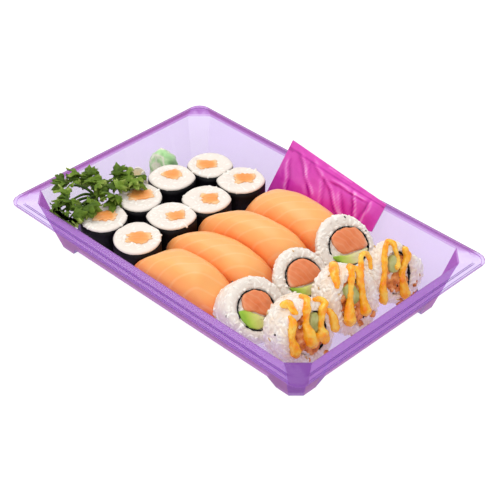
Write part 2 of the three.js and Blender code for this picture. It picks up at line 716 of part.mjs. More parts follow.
// One arch across a nigiri at share u of its half length, from the near hem to the far one.
// thin goes inward from the outer skin.
function nigiriArch(nigiri, index, u, thin, clear) {
  const end = 1 - Math.abs(u) ** 2.4;
  const crest = NIGIRI_END + (nigiri.top - NIGIRI_END) * end ** 0.6 - thin;
  const half = (nigiri.width / 2) * (1 - 0.3 * Math.abs(u) ** 4) - thin * 0.55;
  const arch = [];
  for (let j = 0; j <= NIGIRI_ARCS; j++) {
    const s = (j / NIGIRI_ARCS - 0.5) * Math.PI;
    const sine = Math.sign(s) * Math.abs(Math.sin(s)) ** 0.85;
    const plain = nigiri.at[0] + (u * nigiri.length) / 2;
    const y = nigiri.at[1] + nigiri.sweep * (plain - nigiri.at[0]) + half * sine;
    const x = mix(leftLimit(nigiri, y, clear), nigiri.at[0] + nigiri.length / 2, (u + 1) / 2);
    const z = NIGIRI_HEM + (crest - NIGIRI_HEM) * Math.max(Math.cos(s), 0) ** 0.72;
    arch.push(roomForNigiri(vec(x, y, z), index, clear));
  }
  return arch;
}

function makeNigiri(nigiri, index) {
  const upper = [];
  const lower = [];
  const loops = [];
  for (let i = 0; i <= NIGIRI_STEPS; i++) {
    const u = (2 * i) / NIGIRI_STEPS - 1;
    const slice = NIGIRI_SLICE * (1 - 0.4 * u ** 4);
    upper.push(nigiriArch(nigiri, index, u, 0, CLEAR));
    lower.push(nigiriArch(nigiri, index, u, slice, CLEAR + slice * 0.45));
    if (i === 0 || i === NIGIRI_STEPS) continue;
    const top = nigiriArch(nigiri, index, u, slice + CLEAR, 2 * CLEAR + slice * 0.45);
    const foot = (point, share) => vec(point.x, mix(nigiri.at[1], point.y, share), FLOOR);
    loops.push([...top, foot(top[NIGIRI_ARCS], 0.82), foot(top[0], 0.82)]);
  }
  add(part, nigiri.name + "_salmon", "salmon", slab(upper, lower));
  add(part, nigiri.name + "_rice", "rice", loft(loops.map((loop) => loop.reverse())));
}

// Garnish ------------------------------------------------------------------------------

function stem(from, to, sag) {
  const middle = from.clone().lerp(to, 0.5).add(vec(0, 0, sag));
  const path = new THREE.CatmullRomCurve3([from, middle, to]);
  const section = new THREE.Shape();
  section.absarc(0, 0, STEM_RADIUS, 0, 2 * Math.PI, false);
  return new THREE.ExtrudeGeometry(section, { steps: 2, curveSegments: 2, extrudePath: path });
}

// A leaf of three toothed lobes, wavy and drooping, both faces split alike.
function leaf({ at, face }, seed) {
  const random = seeded(seed);
  const teeth = 12;
  const upper = [];
  for (let k = 0; k < teeth; k++) {
    const angle = (2 * Math.PI * k) / teeth;
    const lobe = 0.8 + 0.2 * Math.cos(3 * angle);
    const radius = LEAF_RADIUS * lobe * (k % 2 ? 0.72 : 1.1) * mix(0.9, 1.1, random());
    const wave = 0.9 * Math.sin(3 * angle + seed) - 1.1;
    upper.push(vec(radius * Math.cos(angle), radius * Math.sin(angle), wave));
  }
  const turn = THREE.MathUtils.degToRad(face);
  const placed = (point) => point.applyAxisAngle(UP, turn).add(vec(...at));
  const lower = upper.map((point) => placed(point.clone().add(vec(0, 0, -LEAF_THICK))));
  const top = upper.map((point) => placed(point));
  const surface = new Surface();
  const [high, low] = [placed(vec(0, 0, 0)), placed(vec(0, 0, -LEAF_THICK))];
  for (let k = 0; k < teeth; k++) {
    const next = (k + 1) % teeth;
    surface.triangle(high, top[k], top[next]);
    surface.triangle(low, lower[next], lower[k]);
  }
  surface.strip(lower, top);
  return surface.geometry();
}

function makeParsley() {
  const fork = vec(...PARSLEY_FORK);
  const pieces = [stem(vec(...PARSLEY_ROOT), fork, 0)];
  PARSLEY_LEAVES.forEach((place, index) => {
    const tip = vec(...place.at).add(vec(0, 0, -0.4));
    pieces.push(stem(fork.clone().add(vec(0, 0, -1)), tip, 1.6), leaf(place, 500 + index));
  });
  add(part, "parsley", "parsley", joined(pieces));
}

// A round heap whose radius follows its height, with low ridges round it.
function mound([x, y], radius, top, ridges, depth) {
  const loops = [];
  const sides = 12;
  const layers = 6;
  for (let k = 0; k < layers; k++) {
    const rise = (0.95 * k) / (layers - 1);
    const wide = radius * (0.86 + 0.5 * rise) * (1 - rise ** 2.6) ** 0.6;
    const loop = [];
    for (let i = 0; i < sides; i++) {
      const angle = (2 * Math.PI * i) / sides;
      const reach = wide * (1 + depth * Math.cos(ridges * angle + k));
      const point = vec(x + reach * Math.cos(angle), y + reach * Math.sin(angle), mix(FLOOR, top, rise));
      loop.push(insideTray(point));
    }
    loops.push(loop);
  }
  return loft(loops);
}

// A thin slice of ginger standing in the heap, curled at its top.
function gingerSlice(angle, top) {
  const upper = [];
  const lower = [];
  for (let i = 0; i <= 2; i++) {
    const side = i - 1;
    const rows = [[], []];
    for (let j = 0; j <= 3; j++) {
      const rise = j / 3;
      const out = 3.6 + 1.6 * Math.sin(rise * 2.6) - 0.7 * side * side;
      const point = vec(out, side * 4.2 * (1 - 0.45 * rise), mix(FLOOR + 2, top, rise));
      rows[0].push(point.clone());
      rows[1].push(point.clone().add(vec(-0.9, 0, 0)));
    }
    upper.push(rows[0]);
    lower.push(rows[1]);
  }
  const slice = slab(upper, lower);
  return slice.rotateZ(angle).translate(GINGER_AT[0], GINGER_AT[1], 0);
}

function makeGinger() {
  const slices = [0.4, 1.9, 3.2, 4.7].map((angle, k) => gingerSlice(angle, GINGER_TOP + 6 - k));
  add(part, "ginger", "ginger", joined([mound(GINGER_AT, GINGER_RADIUS, GINGER_TOP, 3, 0.06), ...slices]));
}

function makeWasabi() {
  add(part, "wasabi", "wasabi", mound(WASABI_AT, WASABI_RADIUS, WASABI_TOP, 5, 0.05));
}

// Sachet -------------------------------------------------------------------------------

function makeSachet() {
  const left = vec(...SACHET_LEFT);
  const right = vec(...SACHET_RIGHT);
  const down = vec(...SACHET_DOWN).normalize();
  const facing = right.clone().sub(left).cross(down).normalize().negate();
  const columns = 8;
  const rows = 5;
  const upper = [];
  const lower = [];
  for (let i = 0; i <= columns; i++) {
    const front = [];
    const back = [];
    const [tall, mid, short] = SACHET_HEIGHTS;
    const share = (2 * i) / columns;
    const height = share < 1 ? mix(tall, mid, share) : mix(mid, short, share - 1);
    for (let j = 0; j <= rows; j++) {
      const [s, t] = [i / columns, j / rows];
      const middle = left.clone().lerp(right, s).addScaledVector(down, height * t);
      const full = Math.sqrt(Math.sin(Math.PI * s) * Math.sin(Math.PI * t));
      const crease = 0.35 * Math.sin(9 * s + 5 * t) * full;
      const half = SACHET_SEAL + SACHET_BULGE * full;
      front.push(middle.clone().addScaledVector(facing, half + crease));
      back.push(middle.clone().addScaledVector(facing, -half * 0.6 + crease * 0.3));
    }
    upper.push(front);
    lower.push(back);
  }
  add(part, "sachet", "sachet", slab(lower, upper));
}

makeTray();
MAKI.forEach(makeMaki);
NIGIRI.forEach(makeNigiri);
SALMON_ROLLS.forEach(makeSalmonRoll);
CRISPY_ROLLS.forEach(makeCrispyRoll);
makeParsley();
makeGinger();
makeWasabi();
makeSachet();

export default part;
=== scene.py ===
"""Takeaway sushi tray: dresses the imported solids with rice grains, fish, sauce and clear film."""

import json
import math
from collections import namedtuple
from contextlib import contextmanager

import bmesh
import bpy
import numpy as np
from mathutils import Matrix, Vector, noise
from mathutils.kdtree import KDTree

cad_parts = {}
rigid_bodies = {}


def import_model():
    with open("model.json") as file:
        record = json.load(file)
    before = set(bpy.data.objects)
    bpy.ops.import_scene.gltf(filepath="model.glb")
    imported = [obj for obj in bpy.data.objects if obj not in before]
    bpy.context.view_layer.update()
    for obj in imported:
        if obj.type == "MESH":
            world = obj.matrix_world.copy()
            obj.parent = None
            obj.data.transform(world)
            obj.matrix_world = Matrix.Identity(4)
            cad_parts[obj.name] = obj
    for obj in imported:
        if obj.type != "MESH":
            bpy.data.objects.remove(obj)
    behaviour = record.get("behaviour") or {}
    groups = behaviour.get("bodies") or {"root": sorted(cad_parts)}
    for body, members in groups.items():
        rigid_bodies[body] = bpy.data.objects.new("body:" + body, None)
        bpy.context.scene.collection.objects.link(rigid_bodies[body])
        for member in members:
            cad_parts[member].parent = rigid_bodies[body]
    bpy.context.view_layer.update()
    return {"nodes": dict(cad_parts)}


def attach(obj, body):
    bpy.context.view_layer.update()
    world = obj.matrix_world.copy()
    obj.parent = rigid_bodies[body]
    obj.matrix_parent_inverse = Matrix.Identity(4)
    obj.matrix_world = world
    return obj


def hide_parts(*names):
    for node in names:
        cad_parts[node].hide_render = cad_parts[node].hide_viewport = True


bl_info = {
    "name": "Takeaway sushi tray",
    "version": (1, 0, 0),
    "blender": (4, 5, 0),
    "location": "3D View > Sidebar > Sushi",
    "description": "Dresses a tray of sushi with grains, fish, garnish and a sachet",
    "category": "Add Mesh",
}

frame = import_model()
MM = 0.001

# Sizes in millimetres, the same as the solids have.
TRAY_X, TRAY_Y = 100, 66
FLOOR = 6.5
FOOT_TOP = 5
CORNER_START = 80  # how far along the tray its slanted corners start
STEP_LOW, STEP_HIGH, STEP_REACH = 26.6, 28.4, 4  # the step in the rim: heights, and how far in
RIDGE_INSET, RIDGE_HEIGHT, WALL_LEAN = 6.7, 29.1, 0.355
CLEAR = 0.3  # air between neighbours
GRAIN_GAP = 1.85  # least distance between the middles of two grains on a lying roll
HALF_GAP = 0.12  # half the air between two small rolls
# How finely the outlines are drawn.
MAKI_SIDES, ROLL_SIDES, BAND_SIDES = 56, 64, 96
# Small rolls standing on end. half: half sizes along and across the diagonal that the piece
# lies on. pinch: how pointed its ends are. core: place and half sizes of the salmon.
DIAGONAL = math.pi / 4
Maki = namedtuple("Maki", "name at top half pinch core")
MAKI = [
    Maki("maki_a1", (-53.3, -43.4), 28.0, (11.8, 12.1), 0.12, (0.2, 2.2, 5.8, 4.4)),
    Maki("maki_a2", (-54.2, -18.9), 27.6, (11.4, 12.4), 0.06, (0.4, 2.6, 6.0, 4.4)),
    Maki("maki_a3", (-55.6, 4.2), 28.0, (12.3, 11.6), 0.3, (-0.3, 3.0, 5.2, 3.9)),
    Maki("maki_a4", (-50.6, 26.4), 27.5, (12.0, 11.6), 0.25, (-1.6, 0.7, 5.0, 3.9)),
    Maki("maki_b1", (-28.9, -43.1), 28.2, (11.8, 13.4), 0, (0.6, 0.3, 6.2, 4.6)),
    Maki("maki_b2", (-30.6, -19.2), 28.4, (12.6, 11.8), 0.3, (2.4, 0.3, 4.7, 3.8)),
    Maki("maki_b3", (-29.3, 3.4), 27.9, (12.6, 12.0), 0.25, (1.8, 0.7, 4.6, 4.4)),
    Maki("maki_b4", (-29.4, 27.6), 27.7, (12.6, 11.9), 0.22, (2.0, 1.8, 5.0, 4.2)),
]
# Nigiri side by side. sweep: how far each slants across for each millimetre along.
Nigiri = namedtuple("Nigiri", "name at length width top sweep")
NIGIRI = [
    Nigiri("nigiri_1", (6.2, -45.4), 54, 26.5, 37.2, 0.05),
    Nigiri("nigiri_2", (7.2, -23.0), 58, 26.0, 35.6, 0.09),
    Nigiri("nigiri_3", (8.4, -0.8), 60, 26.0, 38.2, 0.11),
    Nigiri("nigiri_4", (12.0, 25.2), 56, 30.0, 37.2, 0.04),
]
NIGIRI_STEPS, NIGIRI_ARCS = 44, 30
NIGIRI_END, NIGIRI_HEM, NIGIRI_SLICE = 21.5, 12.5, 5.2  # end's height, hem's height, thickness
PAD_LOW, PAD_HIGH = 8.5, 17  # heights between which single grains show under a nigiri
# Lying rolls. lean: how far the face tips up, and turn: how far it turns to the side, in
# degrees. lift: how far a propped roll's back edge is off the floor. hole: place and half
# sizes of the band of seaweed. dent: direction and spread, in degrees, of a place where the
# rice is pressed in, and by what share in front and at the back.
Roll = namedtuple("Roll", "name at half depth lift lean turn hole dent")
NO_DENT = (0, 1, 0, 0)
SALMON_ROLLS = [
    Roll("roll_a1", (44.8, -40.3), (15.4, 15.6), 17.5, 0, 43, -10, (-0.7, -0.4, 9.7, 9.7), NO_DENT),
    Roll("roll_a2", (47.9, -10.7), (14.8, 16), 9, 6, 45, -10, (0.7, 0.4, 9.7, 9.5), (146, 46, 0, 0.17)),
    Roll("roll_a3", (46.4, 20.9), (16.2, 17.2), 9, 6.1, 46, -10, (1.4, 0.3, 11, 9.6), (150, 50, 0, 0.22)),
]
CRISPY_ROLLS = [
    Roll("roll_b1", (70.2, -34.6), (15.6, 16.2), 16, 0, 16, -6, (0.6, 0.4, 9.2, 10.8), NO_DENT),
    Roll("roll_b2", (69.9, -3.4), (14.9, 16.4), 16, 0, 20, -6, (-1.1, 0.6, 7.6, 11.2), NO_DENT),
    Roll("roll_b3", (72.7, 28), (16.6, 15.6), 8.6, 3.1, 20, -6, (-1.8, 0.2, 8, 11), (36, 34, 0.36, 0.36)),
]
# Outlines of the fillings on a roll's face, as places across it and up it.
FILLINGS = {
    "roll_a1_salmon": [
        (-4.4, 7.2), (2, 8.6), (7.2, 7.4), (8.5, 3.5), (8.2, -3.6), (4.1, -5.2), (-1.6, -1.2),
        (-6.3, 1.8),
    ],
    "roll_a2_salmon": [
        (-4.9, 6.4), (0, 8.6), (5, 8.4), (9.4, 2.6), (8.8, -2.2), (2, -2.8), (-3.2, -2.4), (-7.2, -0.4),
    ],
    "roll_a3_salmon": [
        (-5.1, 6.3), (-1, 8.6), (5, 8.8), (9.6, 5), (9.6, -2.4), (3, -3), (-2.5, -2.4), (-5.4, 1.5),
    ],
    "roll_a1_avocado": [
        (-7.6, 1.4), (-5.4, 1), (-1.8, -2), (3.6, -6), (6.6, -5.4), (3.8, -8.6), (-1, -9.6), (-6, -8),
        (-8.4, -4),
    ],
    "roll_a2_avocado": [
        (-7.8, -1.4), (-4, -2.9), (1, -3.6), (8, -3.4), (6, -6.6), (1, -8.4), (-4, -7.9), (-7.2, -5.2),
    ],
    "roll_a3_avocado": [
        (-7, -1.4), (-3, -3), (3, -3.7), (9, -3.4), (7, -6.6), (2, -8.4), (-3.4, -7.8), (-7, -4.8),
    ],
    "roll_b1_cucumber": [(2.5, 9.2), (5.6, 8.6), (5.3, 3.6), (3.6, 0.2), (0.4, 2.0), (0.6, 6.0)],
    "roll_b2_cucumber": [(-4.6, 9.6), (-0.4, 9.8), (1.9, 5.4), (2.1, 1.0), (-2.2, -0.2), (-5.2, 4.6)],
    "roll_b3_cucumber": [(-4.0, 9.6), (-0.8, 8.8), (0.5, 5.0), (-1.9, 1.2), (-5.9, 2.4), (-6.0, 6.6)],
}
# Each strand of sauce: places across the face, up it and out of it, and the strand's radius.
STRANDS = {
    "roll_b1": [
        [(-6.3, 15.7, -7.2, 2.0), (-4.9, 16.3, -4.8, 2.2), (-6.2, 15.4, -1.2, 1.6),
         (-5.9, 13.7, 0.6, 1.3)],
        [(-8.9, 12.9, -0.2, 1.0), (-8.7, 10.4, 1.2, 2.1), (-9.6, 7.3, 1.0, 1.9), (-10.5, 3.2, 0.9, 1.7),
         (-10.4, -1.0, 1.3, 2.3), (-10.2, -4.2, 1.6, 2.9)],
        [(3.5, 16.2, -6.6, 1.3), (2.5, 16.5, -1.2, 1.6), (0.2, 14.7, 1.1, 2.0), (-0.9, 10.2, 0.9, 1.7),
         (-2.0, 6.3, 0.9, 1.6), (-1.6, 2.0, 1.7, 3.0), (-0.8, -2.8, 1.9, 3.4)],
        [(6.2, 14.9, -0.5, 1.2), (10.2, 13.0, -1.4, 1.6), (10.7, 11.4, 0.4, 1.6), (8.5, 9.6, 1.2, 2.2),
         (6.9, 5.5, 0.9, 1.6), (5.9, 2.0, 0.9, 1.7), (6.3, -2.1, 1.4, 2.6), (6.7, -5.4, 1.4, 2.5)],
        [(-3.4, 3.8, 0.6, 1.0), (-0.7, -0.2, 1.2, 2.2), (3.9, -2.4, 1.2, 2.2), (6.7, -4.6, 1.1, 2.0)],
        [(11.8, 7.1, 0.6, 1.5), (13.6, 3.8, 0.2, 2.1), (14.0, 0.1, 0.2, 2.5), (14.0, -2.8, 0.4, 2.6)],
    ],
    "roll_b2": [
        [(-1.1, 17.3, -9.3, 2.4), (-4.8, 16.7, -4.8, 2.6), (-7.9, 14.7, -1.1, 1.9),
         (-8.9, 11.7, 0.7, 1.5)],
        [(2.5, 16.2, -2.5, 2.1), (0.6, 15.3, 0.8, 1.7), (-1.6, 9.5, 0.8, 1.5), (-3.6, 3.8, 0.9, 1.6),
         (-5.5, -1.4, 1.3, 2.3), (-7.1, -5.9, 1.9, 3.4)],
        [(4.6, 15.2, -1.0, 1.2), (3.9, 14.2, 0.5, 0.9), (3.3, 10.2, 0.5, 0.9), (2.5, 7.7, 0.5, 0.9)],
        [(14.8, 10.4, -3.5, 1.1), (15.1, 14.9, -3.5, 1.2), (13.4, 18.2, -3.2, 1.4),
         (10.4, 18.6, -2.6, 1.4), (8.2, 15.4, -1.2, 1.4), (5.7, 12.4, 0.8, 1.4), (4.1, 5.9, 0.9, 1.6),
         (3.3, -1.2, 1.2, 2.1), (3.1, -5.8, 1.7, 3.0)],
    ],
    "roll_b3": [
        [(-2.1, 3.6, 1.0, 1.8), (-0.4, 6.8, 0.7, 1.2), (-1.1, 11.8, 0.7, 1.3), (-1.0, 15.3, 0.0, 1.4),
         (-2.2, 16.2, -1.4, 1.4), (-5.5, 14.9, -0.2, 1.5), (-8.4, 9.8, 0.8, 1.5), (-9.7, 3.7, 0.8, 1.5),
         (-12.1, -1.4, 0.9, 1.7), (-13.5, -9.0, 0.7, 2.5)],
        [(4.3, 9.9, 1.1, 2.0), (5.3, 6.3, 1.0, 1.9), (2.3, 2.7, 0.9, 1.7), (-0.2, -1.4, 0.9, 1.7),
         (-0.5, -6.4, 1.1, 2.0), (-0.6, -11.4, 1.4, 2.6)],
    ],
}
# Creases of the sachet: from and to, as shares along it and down it, and how sharp each is.
FOLDS = [
    ((0.15, 0.16), (0.37, 0.6), 0.7),
    ((0.07, 0.33), (0.15, 0.7), -0.7),
    ((0.24, 0.2), (0.3, 0.5), -0.35),
    ((0.52, 0.22), (0.8, 0.21), 0.6),
    ((0.73, 0.26), (0.79, 0.68), 0.9),
    ((0.88, 0.24), (0.86, 0.78), 0.8),
    ((0.55, 0.45), (0.68, 0.8), 0.8),
    ((0.42, 0.3), (0.5, 0.75), -0.5),
    ((0.62, 0.4), (0.74, 0.85), -0.6),
    ((0.3, 0.12), (0.5, 0.34), 0.5),
]
# Where each tuft of the sprig sits, and the way that it faces in degrees.
PARSLEY_TUFTS = [
    (-84.5, -39.0, 31.5, 170),
    (-83.2, -29.0, 31, 110),
    (-75.1, -31.4, 32, 60),
    (-61.4, -30.7, 33, 330),
    (-67.4, -21.2, 33, 20),
    (-63.1, -15.6, 33, 50),
    (-73.0, -46.7, 32, 200),
    (-63.4, -46.8, 33, 290),
    (-69.6, -55.8, 31.5, 230),
    (-61.5, -58.2, 32, 250),
]
PARSLEY_FORK, PARSLEY_ROOT, PARSLEY_TOP = (-73, -31, 26), (-74, -31, 9.5), 37
LEAFLETS = 10  # in each tuft
LOBES = (-1.1, 0, 1.1)  # the way that each lobe of a leaflet points, in radians
STALK = (0.75, 0.7, 0.5)  # radii along a stalk
# Upper corners, the way down, heights at its left, middle and right, and half thicknesses.
SACHET_LEFT, SACHET_RIGHT, SACHET_DOWN = (-24, 60.2, 39.8), (40.6, 58.9, 32.4), (-0.144, -0.452, -0.88)
SACHET_HEIGHTS, SACHET_SEAL, SACHET_BULGE = (35.5, 28.5, 16), 0.5, 1.9
SACHET_LENGTH, SACHET_DEPTH = 64.5, 30  # lengths that the shares of the creases are taken of
SACHET_COLUMNS, SACHET_ROWS = 60, 36

# Materials ----------------------------------------------------------------------------

# The tray's film: its tint seen straight on and at a slant, and how milky it is at either.
FILMS = [
    ("clear_purple_sheet", "#C48CF0", "#A25CA2", 0.22, 1.75),
    ("clear_purple_crease", "#7644A4", "#6A3A94", 0.75, 2.2),
    # The front corner's copy is darker and milkier: painted shade on the corner that faces the camera.
    ("clear_purple_front_corner", "#9254B0", "#8A4CA4", 0.5, 2.0),
    # The side corners' copy stays paler at a slant than the sheet: painted light on the other corners.
    ("clear_purple_side_corner", "#C48CF0", "#B484CC", 0.2, 0.5),
]
SHEET, CREASE, FRONT_CORNER, SIDE_CORNER = range(4)
BAND = 0.314  # a wave texture's scale times the spacing of its bands
RICE = dict(
    size=0.006, stops=[(0.0, "#EDE3D9"), (0.4, "#F5EFE6"), (1.0, "#FBF7EF")], depth=0.0001,
    carried="tone", weight=0, fine=0.0014, Roughness=0.4, IOR=1.34,
)
CUT_SALMON = dict(
    size=0.004, depth=0.0002, carried="edge", weight=0.7, Roughness=0.36, IOR=1.4,
    Subsurface_Weight=0.2, Subsurface_Radius=(1.0, 0.4, 0.2), Subsurface_Scale=0.0015,
)
FINE_BANDS = {"Scale": BAND / 0.0025, "Distortion": 5.0}
# Surfaces whose colour changes softly in patches. size: of the patches, in metres, drawn as
# coarse as they need to be to show. depth: of their relief. carried: a number on the piece
# that the patches, times their weight, are added to. fine: size of the relief where it differs.
# stain: how strongly patches are stained. fat: colour and turn of the lines of fat, where they
# start, how strong they are, and their bands.
SURFACES = {
    # Cooked short-grain rice: moist and near white.
    "cooked_rice": RICE,
    # The same, stained in patches by sauce and crumbs.
    "rice_with_crumbs": dict(RICE, stain=0.45),
    # Slice of raw salmon: orange, paler on its crown and deeper towards its edges by painted light and
    # shade, redder low down on one slice by painted shade, with thin pale lines of fat.
    "raw_salmon_slice": dict(
        size=0.014, stops=[(0.1, "#F0602C"), (0.4, "#FA864C"), (0.75, "#FFA35E"), (1.0, "#FFB46C")],
        depth=0.00008, carried="crown", weight=0.35, Roughness=0.33, IOR=1.4, Subsurface_Weight=0.25,
        Subsurface_Radius=(1.0, 0.4, 0.2), Subsurface_Scale=0.002,
        fat=("#FFD9AE", 45, 0.9, 0.17,
             {"Scale": BAND / 0.0056, "Distortion": 4.4, "Detail": 3.0, "Detail Scale": 0.35}),
    ),
    # Cut salmon: patchy flesh that is paler at its cut edge, with fine lines of fat.
    "salmon_in_small_rolls": dict(
        CUT_SALMON, stops=[(0.2, "#EC9242"), (0.6, "#F2A258"), (1.25, "#F8C490")],
        fat=("#FBD6AC", 40, 0.75, 0.1, FINE_BANDS),
    ),
    "salmon_in_rolls": dict(
        CUT_SALMON, stops=[(0.2, "#E67E4A"), (0.6, "#F09464"), (1.25, "#FCC09C")],
        fat=("#FCD2B4", 60, 0.75, 0.12, FINE_BANDS),
    ),
    # Pressed dried seaweed: nearly black with a faint sheen.
    "dried_seaweed": dict(
        size=0.002, stops=[(0.35, "#07050A"), (0.7, "#0E0A12")], depth=0.0003, detail=3.0,
        Roughness=0.48, Specular_IOR_Level=0.2,
    ),
    # Ripe avocado: yellow-green flesh that turns darker green under the skin.
    "ripe_avocado": dict(
        size=0.004, stops=[(0.1, "#F2ECC0"), (0.45, "#DCE284"), (0.8, "#B8D450"), (1.0, "#94C038")],
        depth=0.0001, carried="skin", weight=0.3, Roughness=0.38, IOR=1.4,
        Subsurface_Weight=0.1, Subsurface_Radius=(0.6, 1.0, 0.2), Subsurface_Scale=0.001,
    ),
    # Plain laminated film: painted shade deepens it in its creases, and a painted highlight pales it
    # where a fold catches the light.
    "magenta_film": dict(
        size=0.006, depth=0.0002, carried="fold", weight=0.25, fine=0.003,
        stops=[(0.12, "#A40A8C"), (0.36, "#D42AB2"), (0.58, "#EA50CA"), (0.78, "#F896E4"),
               (0.95, "#FED4F6")],
        Roughness=0.22, Coat_Weight=0.5, Coat_Roughness=0.1,
    ),
    # Curled parsley: dark green with lighter veins, each leaflet a random tone, its rims lighter by a
    # painted highlight.
    "curled_parsley": dict(
        size=0.0022, stops=[(0.15, "#2A400A"), (0.45, "#4A6414"), (0.75, "#6E8A2A"), (1.0, "#A4B45C")],
        depth=0.0002, carried="tone", weight=0.5, fine=0.0011, Roughness=0.6, Specular_IOR_Level=0.2,
    ),
    # Fried breadcrumb: crisp and brown, with painted shade darkening its hollows and a painted highlight
    # turning its crags golden.
    "fried_crumb": dict(
        size=0.0034, stops=[(0.3, "#A04C18"), (0.43, "#D07632"), (0.56, "#F09A52"), (0.72, "#FFCC8C")],
        depth=0.0003, detail=3.0, Roughness=0.4, IOR=1.42,
    ),
    # Peeled cucumber: wet, dull green with faint paler seeds.
    "peeled_cucumber": dict(
        size=0.004, stops=[(0.3, "#9CA456"), (0.5, "#B4B870"), (0.7, "#C8CA8C")], depth=0.0001,
        detail=3.0, Roughness=0.3, IOR=1.42,
    ),
    # Spicy mayonnaise: glossy and orange, in patches from deep orange to yellow that are painted shade
    # and painted highlight.
    "spicy_mayonnaise": dict(
        size=0.004, stops=[(0.3, "#FF8C00"), (0.48, "#FFB018"), (0.66, "#FFD252")], depth=0.00003,
        detail=3.0, Roughness=0.26, IOR=1.42, Coat_Weight=0.35, Coat_Roughness=0.1,
    ),
    # Toasted sesame: dry and tan.
    "toasted_sesame": dict(
        size=0.002, stops=[(0.3, "#C08A48"), (0.7, "#E8C68C")], depth=0.0001, detail=3.0,
        Roughness=0.5, IOR=1.42,
    ),
    # Black sesame: small dark specks.
    "black_sesame": dict(
        size=0.002, stops=[(0.3, "#120D0A"), (0.7, "#3A2A1E")], depth=0.0001, detail=3.0,
        Roughness=0.4, IOR=1.42,
    ),
    # Pickled ginger: wet, thin and cream.
    "pickled_ginger": dict(
        size=0.004, stops=[(0.3, "#FFF2D0"), (0.7, "#FFFAEC")], depth=0.0001, detail=3.0,
        Roughness=0.3, IOR=1.42,
    ),
    # Wasabi paste: soft green with a few pale streaks.
    "wasabi_paste": dict(
        size=0.0085, stops=[(0.34, "#9CD48C"), (0.5, "#BCE2A8"), (0.57, "#F2EEDA"), (0.66, "#B4DEA0")],
        depth=0.0005, detail=3.0, Roughness=0.5, IOR=1.42,
    ),
}


def linear(code):
    """The linear colour of an sRGB hex code."""
    parts = [int(code[i : i + 2], 16) / 255 for i in (1, 3, 5)]
    return [p / 12.92 if p <= 0.04045 else ((p + 0.055) / 1.055) ** 2.4 for p in parts] + [1.0]


def node(tree, kind, inputs=None, out=0, stops=(), **settings):
    """Adds a shader node with its settings, inputs as values or links, and colour stops."""
    made = tree.nodes.new("ShaderNode" + kind)
    for key, value in settings.items():
        setattr(made, key, value)
    for key, value in (inputs or {}).items():
        if isinstance(value, bpy.types.NodeSocket):
            tree.links.new(value, made.inputs[key])
        else:
            made.inputs[key].default_value = value
    if stops:
        points = made.color_ramp.elements
        while len(points) < len(stops):
            points.new(0.5)
        for point, (place, code) in zip(points, stops):
            point.position = place
            point.color = linear(code)
    return made.outputs[out] if made.outputs else None


def start_material(name):
    """A new material with nothing in it but the piece's own places."""
    made = bpy.data.materials.new(name)
    made.use_nodes = True
    made.node_tree.nodes.clear()
    return made, made.node_tree, node(made.node_tree, "TexCoord", out="Object")


def surface(tree, **sockets):
    """The output with one Principled shader, whose sockets are named with _ for spaces."""
    inputs = {key.replace("_", " "): value for key, value in sockets.items()}
    shader = node(tree, "BsdfPrincipled", inputs)
    node(tree, "OutputMaterial", {"Surface": shader})


def film_material(name, pale, deep, least, most):
    """Clear purple sheet: partly milky violet, more so at a slant, under a gloss."""
    made, tree, place = start_material(name)
    slant = node(tree, "LayerWeight", {"Blend": 0.5}, "Facing")
    bent = node(tree, "Math", {0: slant, 1: 4.0}, operation="POWER")
    share = node(tree, "Math", {0: bent, 1: most - least, 2: least}, operation="MULTIPLY_ADD")
    tint = node(tree, "ValToRGB", {"Fac": bent}, stops=[(0.03, pale), (0.13, deep)])
    through = node(tree, "ValToRGB", {"Fac": bent}, stops=[(0.03, "#FBF8FF"), (0.13, "#D6A4E0")])
    uneven = node(tree, "TexNoise", {"Vector": place, "Scale": 1 / 0.012})
    waves = node(tree, "Bump", {"Height": uneven, "Distance": 0.00004})
    clear = node(tree, "BsdfTransparent", {"Color": through})
    milk = node(tree, "BsdfDiffuse", {"Color": tint, "Normal": waves})
    body = node(tree, "MixShader", {"Fac": share, 1: clear, 2: milk})
    gloss = node(tree, "BsdfGlossy", {"Color": linear("#FFFFFF"), "Roughness": 0.12, "Normal": waves})
    shine = node(tree, "Math", {0: bent, 1: 0.3, 2: 0.012}, operation="MULTIPLY_ADD")
    node(tree, "OutputMaterial", {"Surface": node(tree, "MixShader", {"Fac": shine, 1: body, 2: gloss})})
    return made


